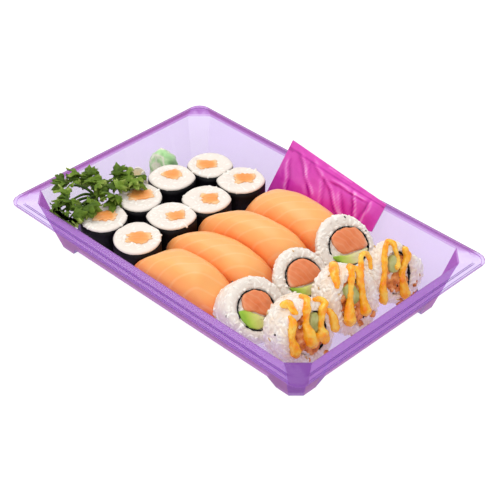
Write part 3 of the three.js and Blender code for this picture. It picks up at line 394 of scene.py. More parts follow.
def surface_material(name):
    """One of the surfaces in the table above."""
    made, tree, place = start_material(name)

    def build(
        size, stops, depth, carried=None, weight=1.0, detail=2.0, fine=None, stain=0, fat=None, **sockets
    ):
        patches = node(tree, "TexNoise", {"Vector": place, "Scale": 1 / size, "Detail": detail})
        tone = height = patches
        if carried:
            number = node(tree, "Attribute", out="Fac", attribute_name=carried)
            inputs = {0: patches, 1: weight, 2: number}
            tone = height = node(tree, "Math", inputs, operation="MULTIPLY_ADD")
        if fine:
            height = node(tree, "TexNoise", {"Vector": place, "Scale": 1 / fine})
        colour = node(tree, "ValToRGB", {"Fac": tone}, stops=stops)
        if stain:
            limits = {"Value": patches, "From Min": 0.4, "From Max": 0.7, "To Max": stain}
            share = node(tree, "MapRange", limits)
            colour = node(tree, "Mix", {0: share, 6: colour, 7: linear("#F0C490")}, 2, data_type="RGBA")
        if fat:
            code, turn, least, most, waves = fat
            # Painted shade: a slice turns redder where it carries this number.
            blush = node(tree, "Attribute", out="Fac", attribute_name="blush")
            colour = node(tree, "Mix", {0: blush, 6: colour, 7: linear("#FF7050")}, 2, data_type="RGBA")
            along = node(tree, "Mapping", {"Vector": place, "Rotation": (0, 0, math.radians(turn))})
            lines = node(tree, "TexWave", {"Vector": along, **waves}, "Fac", bands_direction="X")
            limits = {"Value": lines, "From Min": least, "From Max": 1.0, "To Max": most}
            share = node(tree, "MapRange", limits, interpolation_type="SMOOTHSTEP")
            colour = node(tree, "Mix", {0: share, 6: colour, 7: linear(code)}, 2, data_type="RGBA")
            height = lines if carried == "crown" else height
        relief = node(tree, "Bump", {"Height": height, "Distance": depth})
        surface(tree, Base_Color=colour, Normal=relief, **sockets)

    build(**SURFACES[name])
    return made


# Shaping ------------------------------------------------------------------------------


def deselect():
    if bpy.context.object and bpy.context.object.mode != "OBJECT":
        bpy.ops.object.mode_set(mode="OBJECT")
    bpy.ops.object.select_all(action="DESELECT")


def choose(piece):
    deselect()
    piece.select_set(True)
    bpy.context.view_layer.objects.active = piece


@contextmanager
def editing(piece):
    """Edit mode, with all of the piece selected."""
    choose(piece)
    bpy.ops.object.mode_set(mode="EDIT")
    bpy.ops.mesh.select_all(action="SELECT")
    yield
    bpy.ops.object.mode_set(mode="OBJECT")


def settle(piece, paint, slot, *nodes, angle=None):
    """Gives a finished piece its material, its body and the solids that it stands for."""
    choose(piece)
    if angle is None:
        bpy.ops.object.shade_smooth()
    else:
        bpy.ops.object.shade_smooth_by_angle(angle=math.radians(angle))
    if paint:
        piece.data.materials.clear()
        piece.data.materials.append(paint)
    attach(piece, "root")
    if nodes:
        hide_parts(*nodes)


def apply_modifier(piece, kind, **settings):
    choose(piece)
    modifier = piece.modifiers.new(kind.lower(), kind)
    for key, value in settings.items():
        setattr(modifier, key, value)
    bpy.ops.object.modifier_apply(modifier=modifier.name)


def add_object(name, data):
    piece = bpy.data.objects.new(name, data)
    bpy.context.scene.collection.objects.link(piece)
    return piece


def from_solid(name, source, cuts=1):
    """A merged copy of a solid, subdivided to a soft form."""
    piece = add_object(name, frame["nodes"][source].data.copy())
    with editing(piece):
        bpy.ops.mesh.remove_doubles(threshold=2e-6)
        if cuts:
            bpy.ops.mesh.tris_convert_to_quads(face_threshold=1.0, shape_threshold=1.0)
    if cuts:
        apply_modifier(piece, "SUBSURF", levels=cuts, render_levels=cuts)
    return piece


def build_loops(name, loops, ring=False):
    """A skin extruded from loop to loop in millimetres, capped or joined round to its start."""
    loops = [[Vector(p) * MM for p in loop] for loop in loops]
    deselect()
    bpy.ops.mesh.primitive_circle_add(vertices=len(loops[0]), radius=0.01)
    piece = bpy.context.active_object
    piece.name = name
    for vertex, point in zip(piece.data.vertices, loops[0]):
        vertex.co = point
    with editing(piece):
        for here, there in zip(loops, loops[1:]):
            bpy.ops.mesh.extrude_region_move()
            mesh = bmesh.from_edit_mesh(piece.data)
            order = KDTree(len(here))
            for k, point in enumerate(here):
                order.insert(point, k)
            order.balance()
            for vertex in mesh.verts:
                if vertex.select:
                    vertex.co = there[order.find(vertex.co)[1]]
            bmesh.update_edit_mesh(piece.data)
        mesh = bmesh.from_edit_mesh(piece.data)
        bpy.ops.mesh.select_all(action="DESELECT")
        for edge in mesh.edges:
            if edge.is_boundary:
                edge.select_set(True)
        bmesh.update_edit_mesh(piece.data)
        if ring:
            bpy.ops.mesh.bridge_edge_loops()
        else:
            bpy.ops.mesh.fill_holes(sides=0)
        bpy.ops.mesh.select_all(action="SELECT")
        bpy.ops.mesh.normals_make_consistent(inside=False)
    return piece


def roughen(piece, size, depth):
    """Uneven bumps of one size and depth, both in millimetres."""
    texture = bpy.data.textures.new("bumps", "CLOUDS")
    texture.noise_scale = size * MM
    strength = 2.4 * depth * MM
    apply_modifier(
        piece, "DISPLACE", texture=texture, strength=strength, mid_level=0.5, texture_coords="LOCAL"
    )


def carry(piece, name, rule):
    """Stores a number at every point of a piece, by a rule of its place in millimetres."""
    values = [rule(v.co / MM) for v in piece.data.vertices]
    piece.data.attributes.new(name, "FLOAT", "POINT").data.foreach_set("value", values)


def join(target, *others):
    choose(target)
    for other in others:
        other.select_set(True)
    bpy.ops.object.join()
    return target


def mix(a, b, share):
    return a + (b - a) * share


def turned(point, angle):
    c, s = math.cos(angle), math.sin(angle)
    return Vector((point[0] * c - point[1] * s, point[0] * s + point[1] * c, point[2]))


def circle(count):
    return [2 * math.pi * k / count for k in range(count)]


def wavy(angle, seed, size):
    """A smooth uneven number from -1 to 1 round a circle."""
    return noise.noise(Vector((math.cos(angle) / size, math.sin(angle) / size, seed * 1.7)))


def on_ellipse(ellipse, angle, grow, z):
    """A point of an ellipse that is given as its place and half sizes, grown by a little."""
    x, y, a, b = ellipse
    return Vector((x + (a + grow) * math.cos(angle), y + (b + grow) * math.sin(angle), z))


def oval(ellipse, grow, z):
    return [on_ellipse(ellipse, angle, grow, z) for angle in circle(ROLL_SIDES)]


def inside_tray(point, clear=CLEAR):
    """Holds a point within the tray's leaning walls."""
    inset = RIDGE_INSET + WALL_LEAN * (RIDGE_HEIGHT - min(point.z, RIDGE_HEIGHT))
    x, y = TRAY_X - inset - clear, TRAY_Y - inset - clear
    return Vector((max(-x, min(x, point.x)), max(-y, min(y, point.y)), point.z))


def middle_of(loop):
    return sum((Vector(p) for p in loop), Vector()) / len(loop)


def shrunk(loop, share, z):
    """A loop drawn in to its middle by a share and laid at a height."""
    middle = middle_of(loop)
    return [Vector((*(middle.lerp(Vector(p), share)).xy, z)) for p in loop]


def smooth_outline(points, count, seed, rough):
    """A closed smooth outline through a few places, with a little unevenness."""
    made = []
    for k in range(count):
        at = k / count * len(points)
        i, t = int(at), at % 1
        a, b, c, d = (Vector(points[(i + j) % len(points)]) for j in (-1, 0, 1, 2))
        p = 0.5 * (
            2 * b + (c - a) * t + (2 * a - 5 * b + 4 * c - d) * t**2 + (3 * b - a - 3 * c + d) * t**3
        )
        p = p * (1 + rough * wavy(2 * math.pi * k / count, seed, 0.3))
        made.append(Vector((p.x, p.y, 0)))
    return made


def block(name, outline, low, high, bulge, edge=0.5):
    """A block of filling with that outline, rounded at both cut faces."""
    middle = middle_of(outline)

    def at(inward, z):
        return [Vector((*(p + (middle - p).normalized() * inward).xy, z)) for p in outline]

    loops = [shrunk(outline, 0.02, low - bulge), shrunk(outline, 0.5, low - bulge * 0.8)]
    sides = (edge, low), (0, low + edge), (0, mix(low, high, 0.5)), (0, high - edge), (edge * 0.4, high)
    loops += [at(inward, z) for inward, z in sides]
    dome = (0.8, 0.6, 0.4, 0.2, 0.02)
    loops += [shrunk(outline, share, high + bulge * (1 - share)) for share in dome]
    return build_loops(name, loops)


def roll_place(roll):
    """Where a lying roll stands: across its face, up it, and out of it."""
    lean, turn = math.radians(roll.lean), math.radians(roll.turn)
    out = Vector((math.cos(lean) * math.cos(turn), math.cos(lean) * math.sin(turn), math.sin(lean)))
    across = Vector((-math.sin(turn), math.cos(turn), 0))
    up = out.cross(across)
    height = FLOOR + roll.lift + roll.half[1] * up.z + roll.depth / 2 * out.z
    centre = Vector((*roll.at, height)) * MM
    return Matrix.Translation(centre) @ Matrix((across, up, out)).transposed().to_4x4()


ROLL_PLACES = [(roll, roll_place(roll)) for roll in SALMON_ROLLS]


def pressed_in(roll, point):
    """Moves a point of a roll towards the roll's middle where the roll is dented."""
    towards, spread, front, back = roll.dent
    off = (math.degrees(math.atan2(point.y, point.x)) - towards + 540) % 360 - 180
    share = mix(back, front, point.z / roll.depth + 0.5) * math.exp(-((off / spread) ** 2))
    return Vector((point.x * (1 - share), point.y * (1 - share), point.z))


# Scattered things ---------------------------------------------------------------------


def shape_of(piece):
    """The points and faces of a piece, which is then taken away."""
    points = np.array([v.co for v in piece.data.vertices])
    faces = [tuple(p.vertices) for p in piece.data.polygons]
    bpy.data.objects.remove(piece)
    return points, faces


def seed_shape(long, wide, tall, point=0.0, segments=7, rings=5):
    """A grain or seed as a shaped ball: its points and faces."""
    deselect()
    bpy.ops.mesh.primitive_uv_sphere_add(segments=segments, ring_count=rings, radius=0.5)
    points, faces = shape_of(bpy.context.active_object)
    points = points[:, [2, 0, 1]]
    taper = 1 - point * (points[:, 0] + 0.5)
    points[:, 1:] *= taper[:, None]
    return points * (long, wide, tall) * MM, faces


def copies(name, placed, faces, tones):
    """One mesh of a shape's copies: the points of each in metres, its faces, and every tone."""
    count = len(placed[0])
    mesh = bpy.data.meshes.new(name)
    all_faces = [tuple(i + k * count for i in face) for k in range(len(placed)) for face in faces]
    mesh.from_pydata(np.concatenate(placed).tolist(), [], all_faces)
    mesh.attributes.new("tone", "FLOAT", "POINT").data.foreach_set("value", np.array(tones, np.float32))
    return add_object(name, mesh)


def surface_places(piece, spacing, seed, keep, share):
    """Evenly scattered places on a piece, each with its outward direction."""
    mesh = piece.data
    mesh.calc_loop_triangles()
    points = np.empty(len(mesh.vertices) * 3)
    mesh.vertices.foreach_get("co", points)
    index = np.empty(len(mesh.loop_triangles) * 3, dtype=np.int64)
    mesh.loop_triangles.foreach_get("vertices", index)
    corners = points.reshape(-1, 3)[index.reshape(-1, 3)]
    # The faces are taken in the order of their places, so that every run scatters alike.
    first = np.argmin(np.round(corners @ (0.71, 0.53, 0.47), 8), axis=1)
    corners = np.take_along_axis(corners, ((first[:, None] + np.arange(3)) % 3)[:, :, None], axis=1)
    corners = corners[np.lexsort(np.round(corners.mean(axis=1), 7).T)]
    cross = np.cross(corners[:, 1] - corners[:, 0], corners[:, 2] - corners[:, 0])
    area = np.linalg.norm(cross, axis=1)
    rng = np.random.default_rng(seed)
    gap = spacing * MM
    amount = int(area.sum() / 2 / gap**2 * share) + 20
    pick = rng.choice(len(area), size=amount, p=area / area.sum())
    a, b = rng.random((2, amount, 1))
    a, b = np.where(a + b > 1, 1 - a, a), np.where(a + b > 1, 1 - b, b)
    one, two, three = corners[pick].transpose(1, 0, 2)
    spots = one + a * (two - one) + b * (three - one)
    ways = cross[pick] / area[pick][:, None]
    cells, places = {}, []
    for spot, way in zip(spots, ways):
        if keep is not None and not keep(spot / MM, way):
            continue
        x, y, z = (spot // gap).astype(int)
        around = [(x + i, y + j, z + k) for i in (-1, 0, 1) for j in (-1, 0, 1) for k in (-1, 0, 1)]
        if all(((spot - q) ** 2).sum() > gap**2 for cell in around for q in cells.get(cell, ())):
            cells.setdefault((x, y, z), []).append(spot)
            places.append((spot, way))
    return places


def strew(name, shape, piece, spacing, seeds, sink, keep=None, share=3.0, tilt=0.3, vary=0.15):
    """Copies of a shape all over a piece. seeds: for their places, and for their turns."""
    points, faces = shape
    rng = np.random.default_rng(seeds[1])
    placed, tones = [], []
    for place, normal in surface_places(piece, spacing, seeds[0], keep, share):
        side = np.cross(normal, rng.normal(size=3))
        side /= np.linalg.norm(side)
        along = np.cross(side, normal) + normal * rng.uniform(-tilt, tilt)
        along /= np.linalg.norm(along)
        over = np.cross(along, side)
        sizes = rng.uniform(1 - vary, 1 + vary, 3)
        placed.append((points * sizes) @ np.array([along, side, over]) + place + normal * sink * MM)
        tones += [rng.uniform()] * len(points)
    return copies(name, placed, faces, tones)


def rice_grain(context):
    food = context.scene.sushi_food
    return seed_shape(food.grain_length / MM, food.grain_width / MM, food.grain_width * 0.85 / MM)


# Pieces -------------------------------------------------------------------------------


class SUSHI_PG_food(bpy.types.PropertyGroup):
    """Sizes of the food's fine parts."""

    grain_length: bpy.props.FloatProperty(
        name="Grain length", description="Length of a cooked rice grain", default=0.0044, unit="LENGTH"
    )
    grain_width: bpy.props.FloatProperty(
        name="Grain width", description="Width of a cooked rice grain", default=0.0021, unit="LENGTH"
    )


class SUSHI_PG_stage(bpy.types.PropertyGroup):
    """The studio."""

    key_power: bpy.props.FloatProperty(
        name="Key light", description="Power of the large light overhead", default=5.2, unit="POWER"
    )
    fill_power: bpy.props.FloatProperty(
        name="Fill light", description="Power of the light from the front", default=1.9, unit="POWER"
    )
    sky: bpy.props.FloatProperty(
        name="Sky", description="Strength of the even light from all round", default=0.7, min=0
    )



class SUSHI_OT_tray(bpy.types.Operator):
    """Clear tray whose creases show as deeper lines"""

    bl_idname = "sushi.tray"
    bl_label = "Tray"

    def execute(self, context):
        piece = from_solid("clear_tray", "tray", cuts=0)
        piece.data.materials.clear()
        for film in FILMS:
            piece.data.materials.append(film_material(*film))
        with editing(piece):
            bpy.ops.mesh.dissolve_limited(angle_limit=math.radians(0.5))
        sharp = {"limit_method": "ANGLE", "angle_limit": math.radians(35)}
        apply_modifier(piece, "BEVEL", width=0.00018, segments=1, material=CREASE, **sharp)
        for face in piece.data.polygons:
            x, y, z = (abs(value) / MM for value in face.center)
            slanted = min(abs(face.normal.x), abs(face.normal.y)) > 0.02
            outer = max(x - TRAY_X, y - TRAY_Y) > -STEP_REACH
            step = face.material_index == CREASE and STEP_LOW < z < STEP_HIGH and outer
            # Slanted corner faces get their own copies of the film: painted shade at the corner nearest
            # the camera, painted light at the other corners.
            if slanted and x > CORNER_START and z > FOOT_TOP:
                near = face.center.x > 0 > face.center.y
                face.material_index = FRONT_CORNER if near else SIDE_CORNER
            else:
                face.material_index = CREASE if step or z < FOOT_TOP else SHEET
        settle(piece, None, "tray_plastic", "tray", angle=40)
        apply_modifier(piece, "WEIGHTED_NORMAL", keep_sharp=True, weight=100)
        return {"FINISHED"}


def maki_outline(maki, z, inward):
    """A small roll's outline at a height, pressed flat where it meets its neighbours."""
    loop, at = [], Vector((*maki.at, 0))
    for angle in circle(MAKI_SIDES):
        across = math.sin(angle) * abs(math.sin(angle)) ** maki.pinch
        point = turned((maki.half[0] * math.cos(angle), maki.half[1] * across, z), DIAGONAL) + at
        for other in MAKI:
            if other is maki:
                continue
            away = Vector((*other.at, 0)) - at
            reach = away.length / 2 - HALF_GAP
            away.normalize()
            past = (point - at).dot(away) - reach
            if past > 0:
                point -= away * past
        point = inside_tray(point) - at
        flat = point.xy.length
        loop.append(Vector((*(point.xy * (flat - inward) / flat), z)) + at)
    return loop


def core_outline(maki, z, inward):
    """The outline of a small roll's salmon: an uneven block."""
    x, y, a, b = maki.core
    loop, seed = [], 7 + 3.1 * MAKI.index(maki)
    for angle in circle(MAKI_SIDES):
        waves = 0.42 * wavy(angle, seed, 0.9) + 0.34 * wavy(angle, seed, 0.3)
        square = 0.96 + 0.16 * math.sin(2 * angle) ** 2 + waves
        along = x + (a * square - inward) * math.cos(angle)
        across = y + (b * square - inward) * math.sin(angle)
        loop.append(turned((along, across, z), DIAGONAL) + Vector((*maki.at, 0)))
    return loop


def small_roll(k, maki, grain, rice, nori, fish):
    """A small roll: its seaweed, its rice with a domed face of grains, and its salmon."""
    name, top = maki.name, maki.top
    band = [maki_outline(maki, FLOOR, 0)]
    for step in range(1, 7):
        z = mix(FLOOR, top - 0.2, step / 6)
        loop = maki_outline(maki, z, 0)
        at = Vector((*maki.at, z))
        for p, angle in zip(loop, circle(len(loop))):
            p += (at - p).normalized() * (0.12 + 0.14 * noise.noise(Vector((p.x, p.y, z)) / 4))
            if step == 6:
                p.z += 0.35 * wavy(angle, k, 0.12)
        band.append(loop)
    band.append([p + (Vector((*maki.at, p.z)) - p).normalized() * 0.4 for p in band[-1]])
    band.append(maki_outline(maki, FLOOR, 0.5))
    settle(build_loops(name + "_seaweed", band, ring=True), nori, "seaweed", name + "_nori")
    rim, hole = maki_outline(maki, top, 0.2), core_outline(maki, top, -0.1)
    loops = [maki_outline(maki, z, 0.62) for z in (FLOOR, top - 6, top - 0.8)]
    loops.append(maki_outline(maki, top - 0.1, 0.35))
    for share in (0, 0.08, 0.22, 0.36, 0.5, 0.64, 0.78, 0.9, 1):
        loop = []
        for p, q in zip(rim, hole):
            lift = 0.15 + 0.85 * math.sin(math.pi * min(share * 1.1, 1) ** 0.6) ** 0.8
            at = p.lerp(q, share)
            loop.append(Vector((at.x, at.y, top + lift + 0.12 * noise.noise(at / 1.7))))
        loops.append(loop)
    loops += [core_outline(maki, z, -0.1) for z in (top - 2, FLOOR)]
    core = build_loops(name + "_grains", loops, ring=True)
    edge = min(maki.half) - 1.7

    def on_face(p, n):
        return n[2] > 0.6 and math.dist(p[:2], maki.at) < edge

    join(core, strew("grains", grain, core, 1.8, (20 + k, 40 + k), -0.72, on_face, tilt=0.06))
    settle(core, rice, "rice", name + "_rice")
    fill = block(name + "_fish", core_outline(maki, 0, 0.05), FLOOR, top + 0.55, 0.35, 0.3)
    middle = middle_of(hole)
    reach = sum((p - middle).length for p in hole) / len(hole)
    carry(fill, "edge", lambda p: min((p.xy - middle.xy).length / reach, 1.2) ** 3 * 0.7)
    settle(fill, fish, "raw_salmon", name + "_salmon")


class SUSHI_OT_small_rolls(bpy.types.Operator):
    """Small salmon rolls standing on end"""

    bl_idname = "sushi.small_rolls"
    bl_label = "Small rolls"

    def execute(self, context):
        names = "cooked_rice", "dried_seaweed", "salmon_in_small_rolls"
        grain, paints = rice_grain(context), [surface_material(name) for name in names]
        for k, maki in enumerate(MAKI):
            small_roll(k, maki, grain, *paints)
        return {"FINISHED"}


def left_limit(nigiri, y, clear):
    """How far left a nigiri reaches at a place across the tray, between the small rolls."""
    limit = nigiri.at[0] - nigiri.length / 2
    for maki in MAKI:
        radius = max(maki.half) + clear
        off = abs(y - maki.at[1])
        if off < radius:
            limit = max(limit, maki.at[0] + math.sqrt(radius**2 - off**2))
    return limit


def nigiri_line(nigiri, x):
    """Where the middle line of a nigiri is across the tray, at a place along it."""
    return nigiri.at[1] + nigiri.sweep * (x - nigiri.at[0])


def room_for_nigiri(point, index, clear):
    """Moves a point of a nigiri off its neighbours, the lying rolls and the tray."""
    lines = [nigiri_line(nigiri, point.x) for nigiri in NIGIRI]
    if index > 0:
        point.y = max(point.y, mix(lines[index - 1], lines[index], 0.5) + clear)
    if index + 1 < len(NIGIRI):
        point.y = min(point.y, mix(lines[index], lines[index + 1], 0.5) - clear)
    for roll, place in ROLL_PLACES:
        out, across = place.col[2].xyz, place.col[0].xyz
        offset = point - place.translation / MM
        past = offset.dot(out) + roll.depth / 2 + clear
        if past > 0 and abs(offset.dot(across)) < roll.half[0] + 2:
            point -= out * past
    return inside_tray(point, clear)


def nigiri_arch(index, u, thin, clear):
    """One arch across a nigiri at share u of its half length. thin goes in from the skin."""
    nigiri = NIGIRI[index]
    end = max(1 - abs(u) ** 2.4, 0)
    crest = NIGIRI_END + (nigiri.top - NIGIRI_END) * end**0.6 - thin
    half = nigiri.width / 2 * (1 - 0.3 * abs(u) ** 4) - thin * 0.55
    arch = []
    for j in range(NIGIRI_ARCS + 1):
        s = (j / NIGIRI_ARCS - 0.5) * math.pi
        sine = math.copysign(abs(math.sin(s)) ** 0.85, s)
        y = nigiri_line(nigiri, nigiri.at[0] + u * nigiri.length / 2) + half * sine
        x = mix(left_limit(nigiri, y, clear), nigiri.at[0] + nigiri.length / 2, (u + 1) / 2)
        z = NIGIRI_HEM + (crest - NIGIRI_HEM) * max(math.cos(s), 0) ** 0.72
        arch.append(room_for_nigiri(Vector((x, y, z)), index, clear))
    return arch


def one_nigiri(index, nigiri, grain, rice, fish):
    """A slice of salmon arched over its pad of rice."""
    name, loops = nigiri.name, []
    for i in range(NIGIRI_STEPS + 1):
        u = math.sin((2 * i / NIGIRI_STEPS - 1) * math.pi / 2)
        thick = NIGIRI_SLICE * (1 - 0.4 * u**4)
        upper = nigiri_arch(index, u, 0, CLEAR)
        lower = nigiri_arch(index, u, thick, CLEAR + thick * 0.45)
        loops.append(upper + lower[::-1])
    piece = build_loops(name + "_slice", loops)
    apply_modifier(piece, "SMOOTH", factor=0.5, iterations=5)
    roughen(piece, 10, 0.45)

    # Painted light and shade: the slice is paler on its crown and deeper towards its sides and ends.
    def crown(p):
        wide = (p.y - nigiri_line(nigiri, p.x)) / (nigiri.width / 2)
        along = (p.x - nigiri.at[0]) / (nigiri.length / 2)
        return max(0.0, 1 - 0.62 * abs(wide) ** 2.2 - 0.45 * abs(along) ** 4) * 0.95

    carry(piece, "crown", crown)
    # Painted shade on the first slice: redder the lower it lies.
    carry(piece, "blush", lambda p: 0.55 * max(0, min(1, (27 - p.z) / 10)) if index == 0 else 0)
    settle(piece, fish, "raw_salmon", name + "_salmon")
    core = from_solid(name + "_pad", name + "_rice")
    seeds = 60 + index, 70 + index
    join(core, strew("grains", grain, core, 2.3, seeds, -0.7, lambda p, n: PAD_LOW < p[2] < PAD_HIGH))
    settle(core, rice, "rice", name + "_rice")


class SUSHI_OT_nigiri(bpy.types.Operator):
    """Salmon slices over pads of rice"""

    bl_idname = "sushi.nigiri"
    bl_label = "Nigiri"

    def execute(self, context):
        grain = rice_grain(context)
        paints = surface_material("cooked_rice"), surface_material("raw_salmon_slice")
        for index, nigiri in enumerate(NIGIRI):
            one_nigiri(index, nigiri, grain, *paints)
        return {"FINISHED"}


def lying_rice(roll, seed, grain, lumps, sink):
    """Rice of a lying roll: a round ring of grains with more rice deeper inside its hole."""
    hole, face = roll.hole, roll.depth / 2
    outside = (0, 0, *roll.half)
    profile = [
        (-face, -1.9),
        (-face + 0.3, -1.0),
        (-face + 1.2, -0.3),
        (-face / 2, 0),
        (0, 0.05),
        (face / 2, 0),
        (face - 1.5, -0.25),
        (face - 0.7, -0.7),
        (face - 0.1, -1.6),
    ]
    loops = [[pressed_in(roll, p) for p in oval(outside, grow - 0.35, z)] for z, grow in profile]
    front, mouth = loops[-1], oval(hole, 0.1, face - 0.6)
    for share in (0.35, 0.7):
        loops.append([p.lerp(q, share) + Vector((0, 0, 0.4)) for p, q in zip(front, mouth)])
    loops += [mouth, oval(hole, 0, 0), oval(hole, 0, -face)]
    ring = build_loops(roll.name + "_grains", loops, ring=True)
    low, high = 1 - face, face - 1.2
    small = 0.2 - hole[2]
    if abs(hole[3] + small) < 0.1:
        # An end drawn in to a line has no inside, and its faces would point either way.
        small += 0.2
    ends = (small, low), (-0.8, low), (-0.4, 1.6 - face), (-0.4, face - 1.9), (-0.8, high)
    plug = [oval(hole, grow, z) for grow, z in ends]
    plug.append(shrunk(plug[-1], 0.5, face - 1.1))
    plug.append(shrunk(plug[-1], 0.04, face - 1.1))
    filler = build_loops("plug", plug)
    x, y, a, b = hole

    def outer(p, n):
        return ((p[0] - x) / a) ** 2 + ((p[1] - y) / b) ** 2 > 1.0 or abs(p[2]) > face - 1

    grains = strew("grains", grain, ring, GRAIN_GAP, (80 + seed, 90 + seed), sink, outer, tilt=0.2)
    seeds = 180 + seed, 190 + seed
    more = strew("grains", grain, filler, GRAIN_GAP, seeds, -0.5, lambda p, n: abs(n[2]) > 0.7, tilt=0.25)
    join(ring, filler)
    ring.data.transform(roll_place(roll))
    roughen(ring, 2.6, lumps)
    for loose in (grains, more):
        loose.data.transform(roll_place(roll))
    return join(ring, grains, more)


def nori_band(roll, seed, opening, start):
    """Seaweed round the fillings with ragged edges, open at one side."""
    hole, face, inner, outer = roll.hole, roll.depth / 2, -0.5, -0.15
    loops = []
    for grow, z in ((outer, 0.5 - face), (outer, face - 0.15), (inner, face - 0.15), (inner, 0.5 - face)):
        loop = []
        for angle in circle(BAND_SIDES):
            wave = 0.5 * wavy(angle, seed, 0.5) + 0.3 * wavy(angle, seed + 3, 0.15)
            ragged = 0.6 * wavy(angle, seed + 7, 0.07) if z > 0 else 0
            loop.append(on_ellipse(hole, angle, grow + wave * 0.5, z + ragged))
        loops.append(loop)
    piece = build_loops(roll.name + "_seaweed", loops, ring=True)
    with editing(piece):
        mesh = bmesh.from_edit_mesh(piece.data)
        bpy.ops.mesh.select_all(action="DESELECT")
        for side in mesh.faces:
            at = side.calc_center_median() / MM
            angle = math.atan2(at.y - hole[1], at.x - hole[0])
            off = abs((angle - start + math.pi) % (2 * math.pi) - math.pi)
            side.select_set(off < opening)
        bmesh.update_edit_mesh(piece.data)
        bpy.ops.mesh.delete(type="FACE")
        bpy.ops.mesh.select_all(action="SELECT")
        bpy.ops.mesh.fill_holes(sides=4)
        bpy.ops.mesh.normals_make_consistent(inside=False)
    piece.data.transform(roll_place(roll))
    piece.data.update()
    return piece


def fitted(points, hole):
    """An outline whose outer places lie right against the seaweed."""
    x, y, a, b = hole
    made = []
    for px, py in points:
        u, v = (px - x) / a, (py - y) / b
        far = math.hypot(u, v)
        reach = 0.93 / far if far > 0.7 else 1
        made.append((x + u * a * reach, y + v * b * reach))
    return made


class SUSHI_OT_salmon_rolls(bpy.types.Operator):
    """Inside-out rolls with salmon and avocado"""

    bl_idname = "sushi.salmon_rolls"
    bl_label = "Salmon rolls"

    def execute(self, context):
        names = "cooked_rice", "dried_seaweed", "salmon_in_rolls", "ripe_avocado"
        rice, nori, fish, green = (surface_material(name) for name in names)
        grain = rice_grain(context)
        for k, roll in enumerate(SALMON_ROLLS):
            name, face = roll.name, roll.depth / 2
            settle(lying_rice(roll, k, grain, 0.3, -0.7), rice, "rice", name + "_rice")
            settle(nori_band(roll, k, 0.25, math.pi + 0.3), nori, "seaweed", name + "_nori")
            for part, paint, slot, high, seed in (
                ("salmon", fish, "raw_salmon", face + 0.3, 3),
                ("avocado", green, "avocado", face - 0.1, 5),
            ):
                shape = fitted(FILLINGS[f"{name}_{part}"], roll.hole)
                outline = smooth_outline(shape, 64, k + seed, 0.04)
                piece = block(f"{name}_{part}_cut", outline, 0.4 - face, high, 0.3)
                middle, low = middle_of(outline), min(p.x for p in outline)
                if part == "salmon":
                    carry(piece, "edge", lambda p: min((p - middle).xy.length / 9, 1.2) ** 3 * 0.4)
                else:
                    carry(piece, "skin", lambda p: max(0, 1 - (p.x - low) / 11))
                piece.data.transform(roll_place(roll))
                roughen(piece, 3, 0.3)
                settle(piece, paint, slot, f"{name}_{part}")
        return {"FINISHED"}


def crispy_roll(k, roll, grain, rice, nori, crumb, pale):
    """A roll with a crumbed prawn behind its stick of cucumber, and crumbs at its lower rim."""
    name, face, hole, place = roll.name, roll.depth / 2, roll.hole, roll_place(roll)
    core = lying_rice(roll, 10 + k, grain, 0.5, -0.5)
    settle(core, rice, "rice", name + "_rice")
    settle(nori_band(roll, 10 + k, 1.9, math.pi), nori, "seaweed")
    stick = FILLINGS[name + "_cucumber"]
    middle = middle_of([(*point, 0) for point in stick])
    mass = [on_ellipse(hole, t, -0.8 + 0.9 * wavy(t, k, 0.4), 0) for t in circle(48)]
    prawn = block(name + "_crumbed", mass, 0.5 - face, face - 0.3, 0.6, 0.8)
    prawn.data.transform(place)
    hollow_x, hollow_y, hollow = 3.6, 5.4, -2.4  # half sizes and depth of the cucumber's place
    apply_modifier(prawn, "REMESH", mode="VOXEL", voxel_size=0.00055)
    roughen(prawn, 4.2, 2.4)
    roughen(prawn, 2.0, 0.7)
    back = place.inverted()
    for vertex in prawn.data.vertices:
        local = back @ vertex.co / MM
        off = ((local.x - middle.x) / hollow_x) ** 2 + ((local.y - middle.y) / hollow_y) ** 2
        if local.z > 0 and off < 2:
            local.z = min(local.z, face + mix(hollow, 0.6, min(off, 1.6) / 1.6))
        vertex.co = place @ (local * MM)
    prawn.data.update()
    settle(prawn, crumb, "fried_prawn", name + "_prawn")
    outline = smooth_outline(stick, 40, k, 0.03)
    piece = block(name + "_stick", outline, 0.4 - face, face + 0.9, 0.25, 0.6)
    piece.data.transform(place)
    piece.data.update()
    settle(piece, pale, "cucumber", name + "_cucumber")

    def low_rim(p, n):
        local = back @ (Vector(p) * MM) / MM
        return local.z > face - 3 and local.y < -9 and -4 < local.x < 9

    lump, seeds = seed_shape(4.0, 3.2, 2.4, 0.1, 10, 8), (700 + k, 710 + k)
    crumbs = strew(name + "_crumbs", lump, core, 3.6, seeds, -0.2, low_rim, 2.0, vary=0.4)
    roughen(crumbs, 1.6, 1.3)
    settle(crumbs, crumb, "fried_prawn")


class SUSHI_OT_crispy_rolls(bpy.types.Operator):
    """Rolls with fried prawn and cucumber"""

    bl_idname = "sushi.crispy_rolls"
    bl_label = "Crispy rolls"

    def execute(self, context):
        names = "rice_with_crumbs", "dried_seaweed", "fried_crumb", "peeled_cucumber"
        grain, paints = rice_grain(context), [surface_material(name) for name in names]
        for k, roll in enumerate(CRISPY_ROLLS):
            crispy_roll(k, roll, grain, *paints)
        return {"FINISHED"}


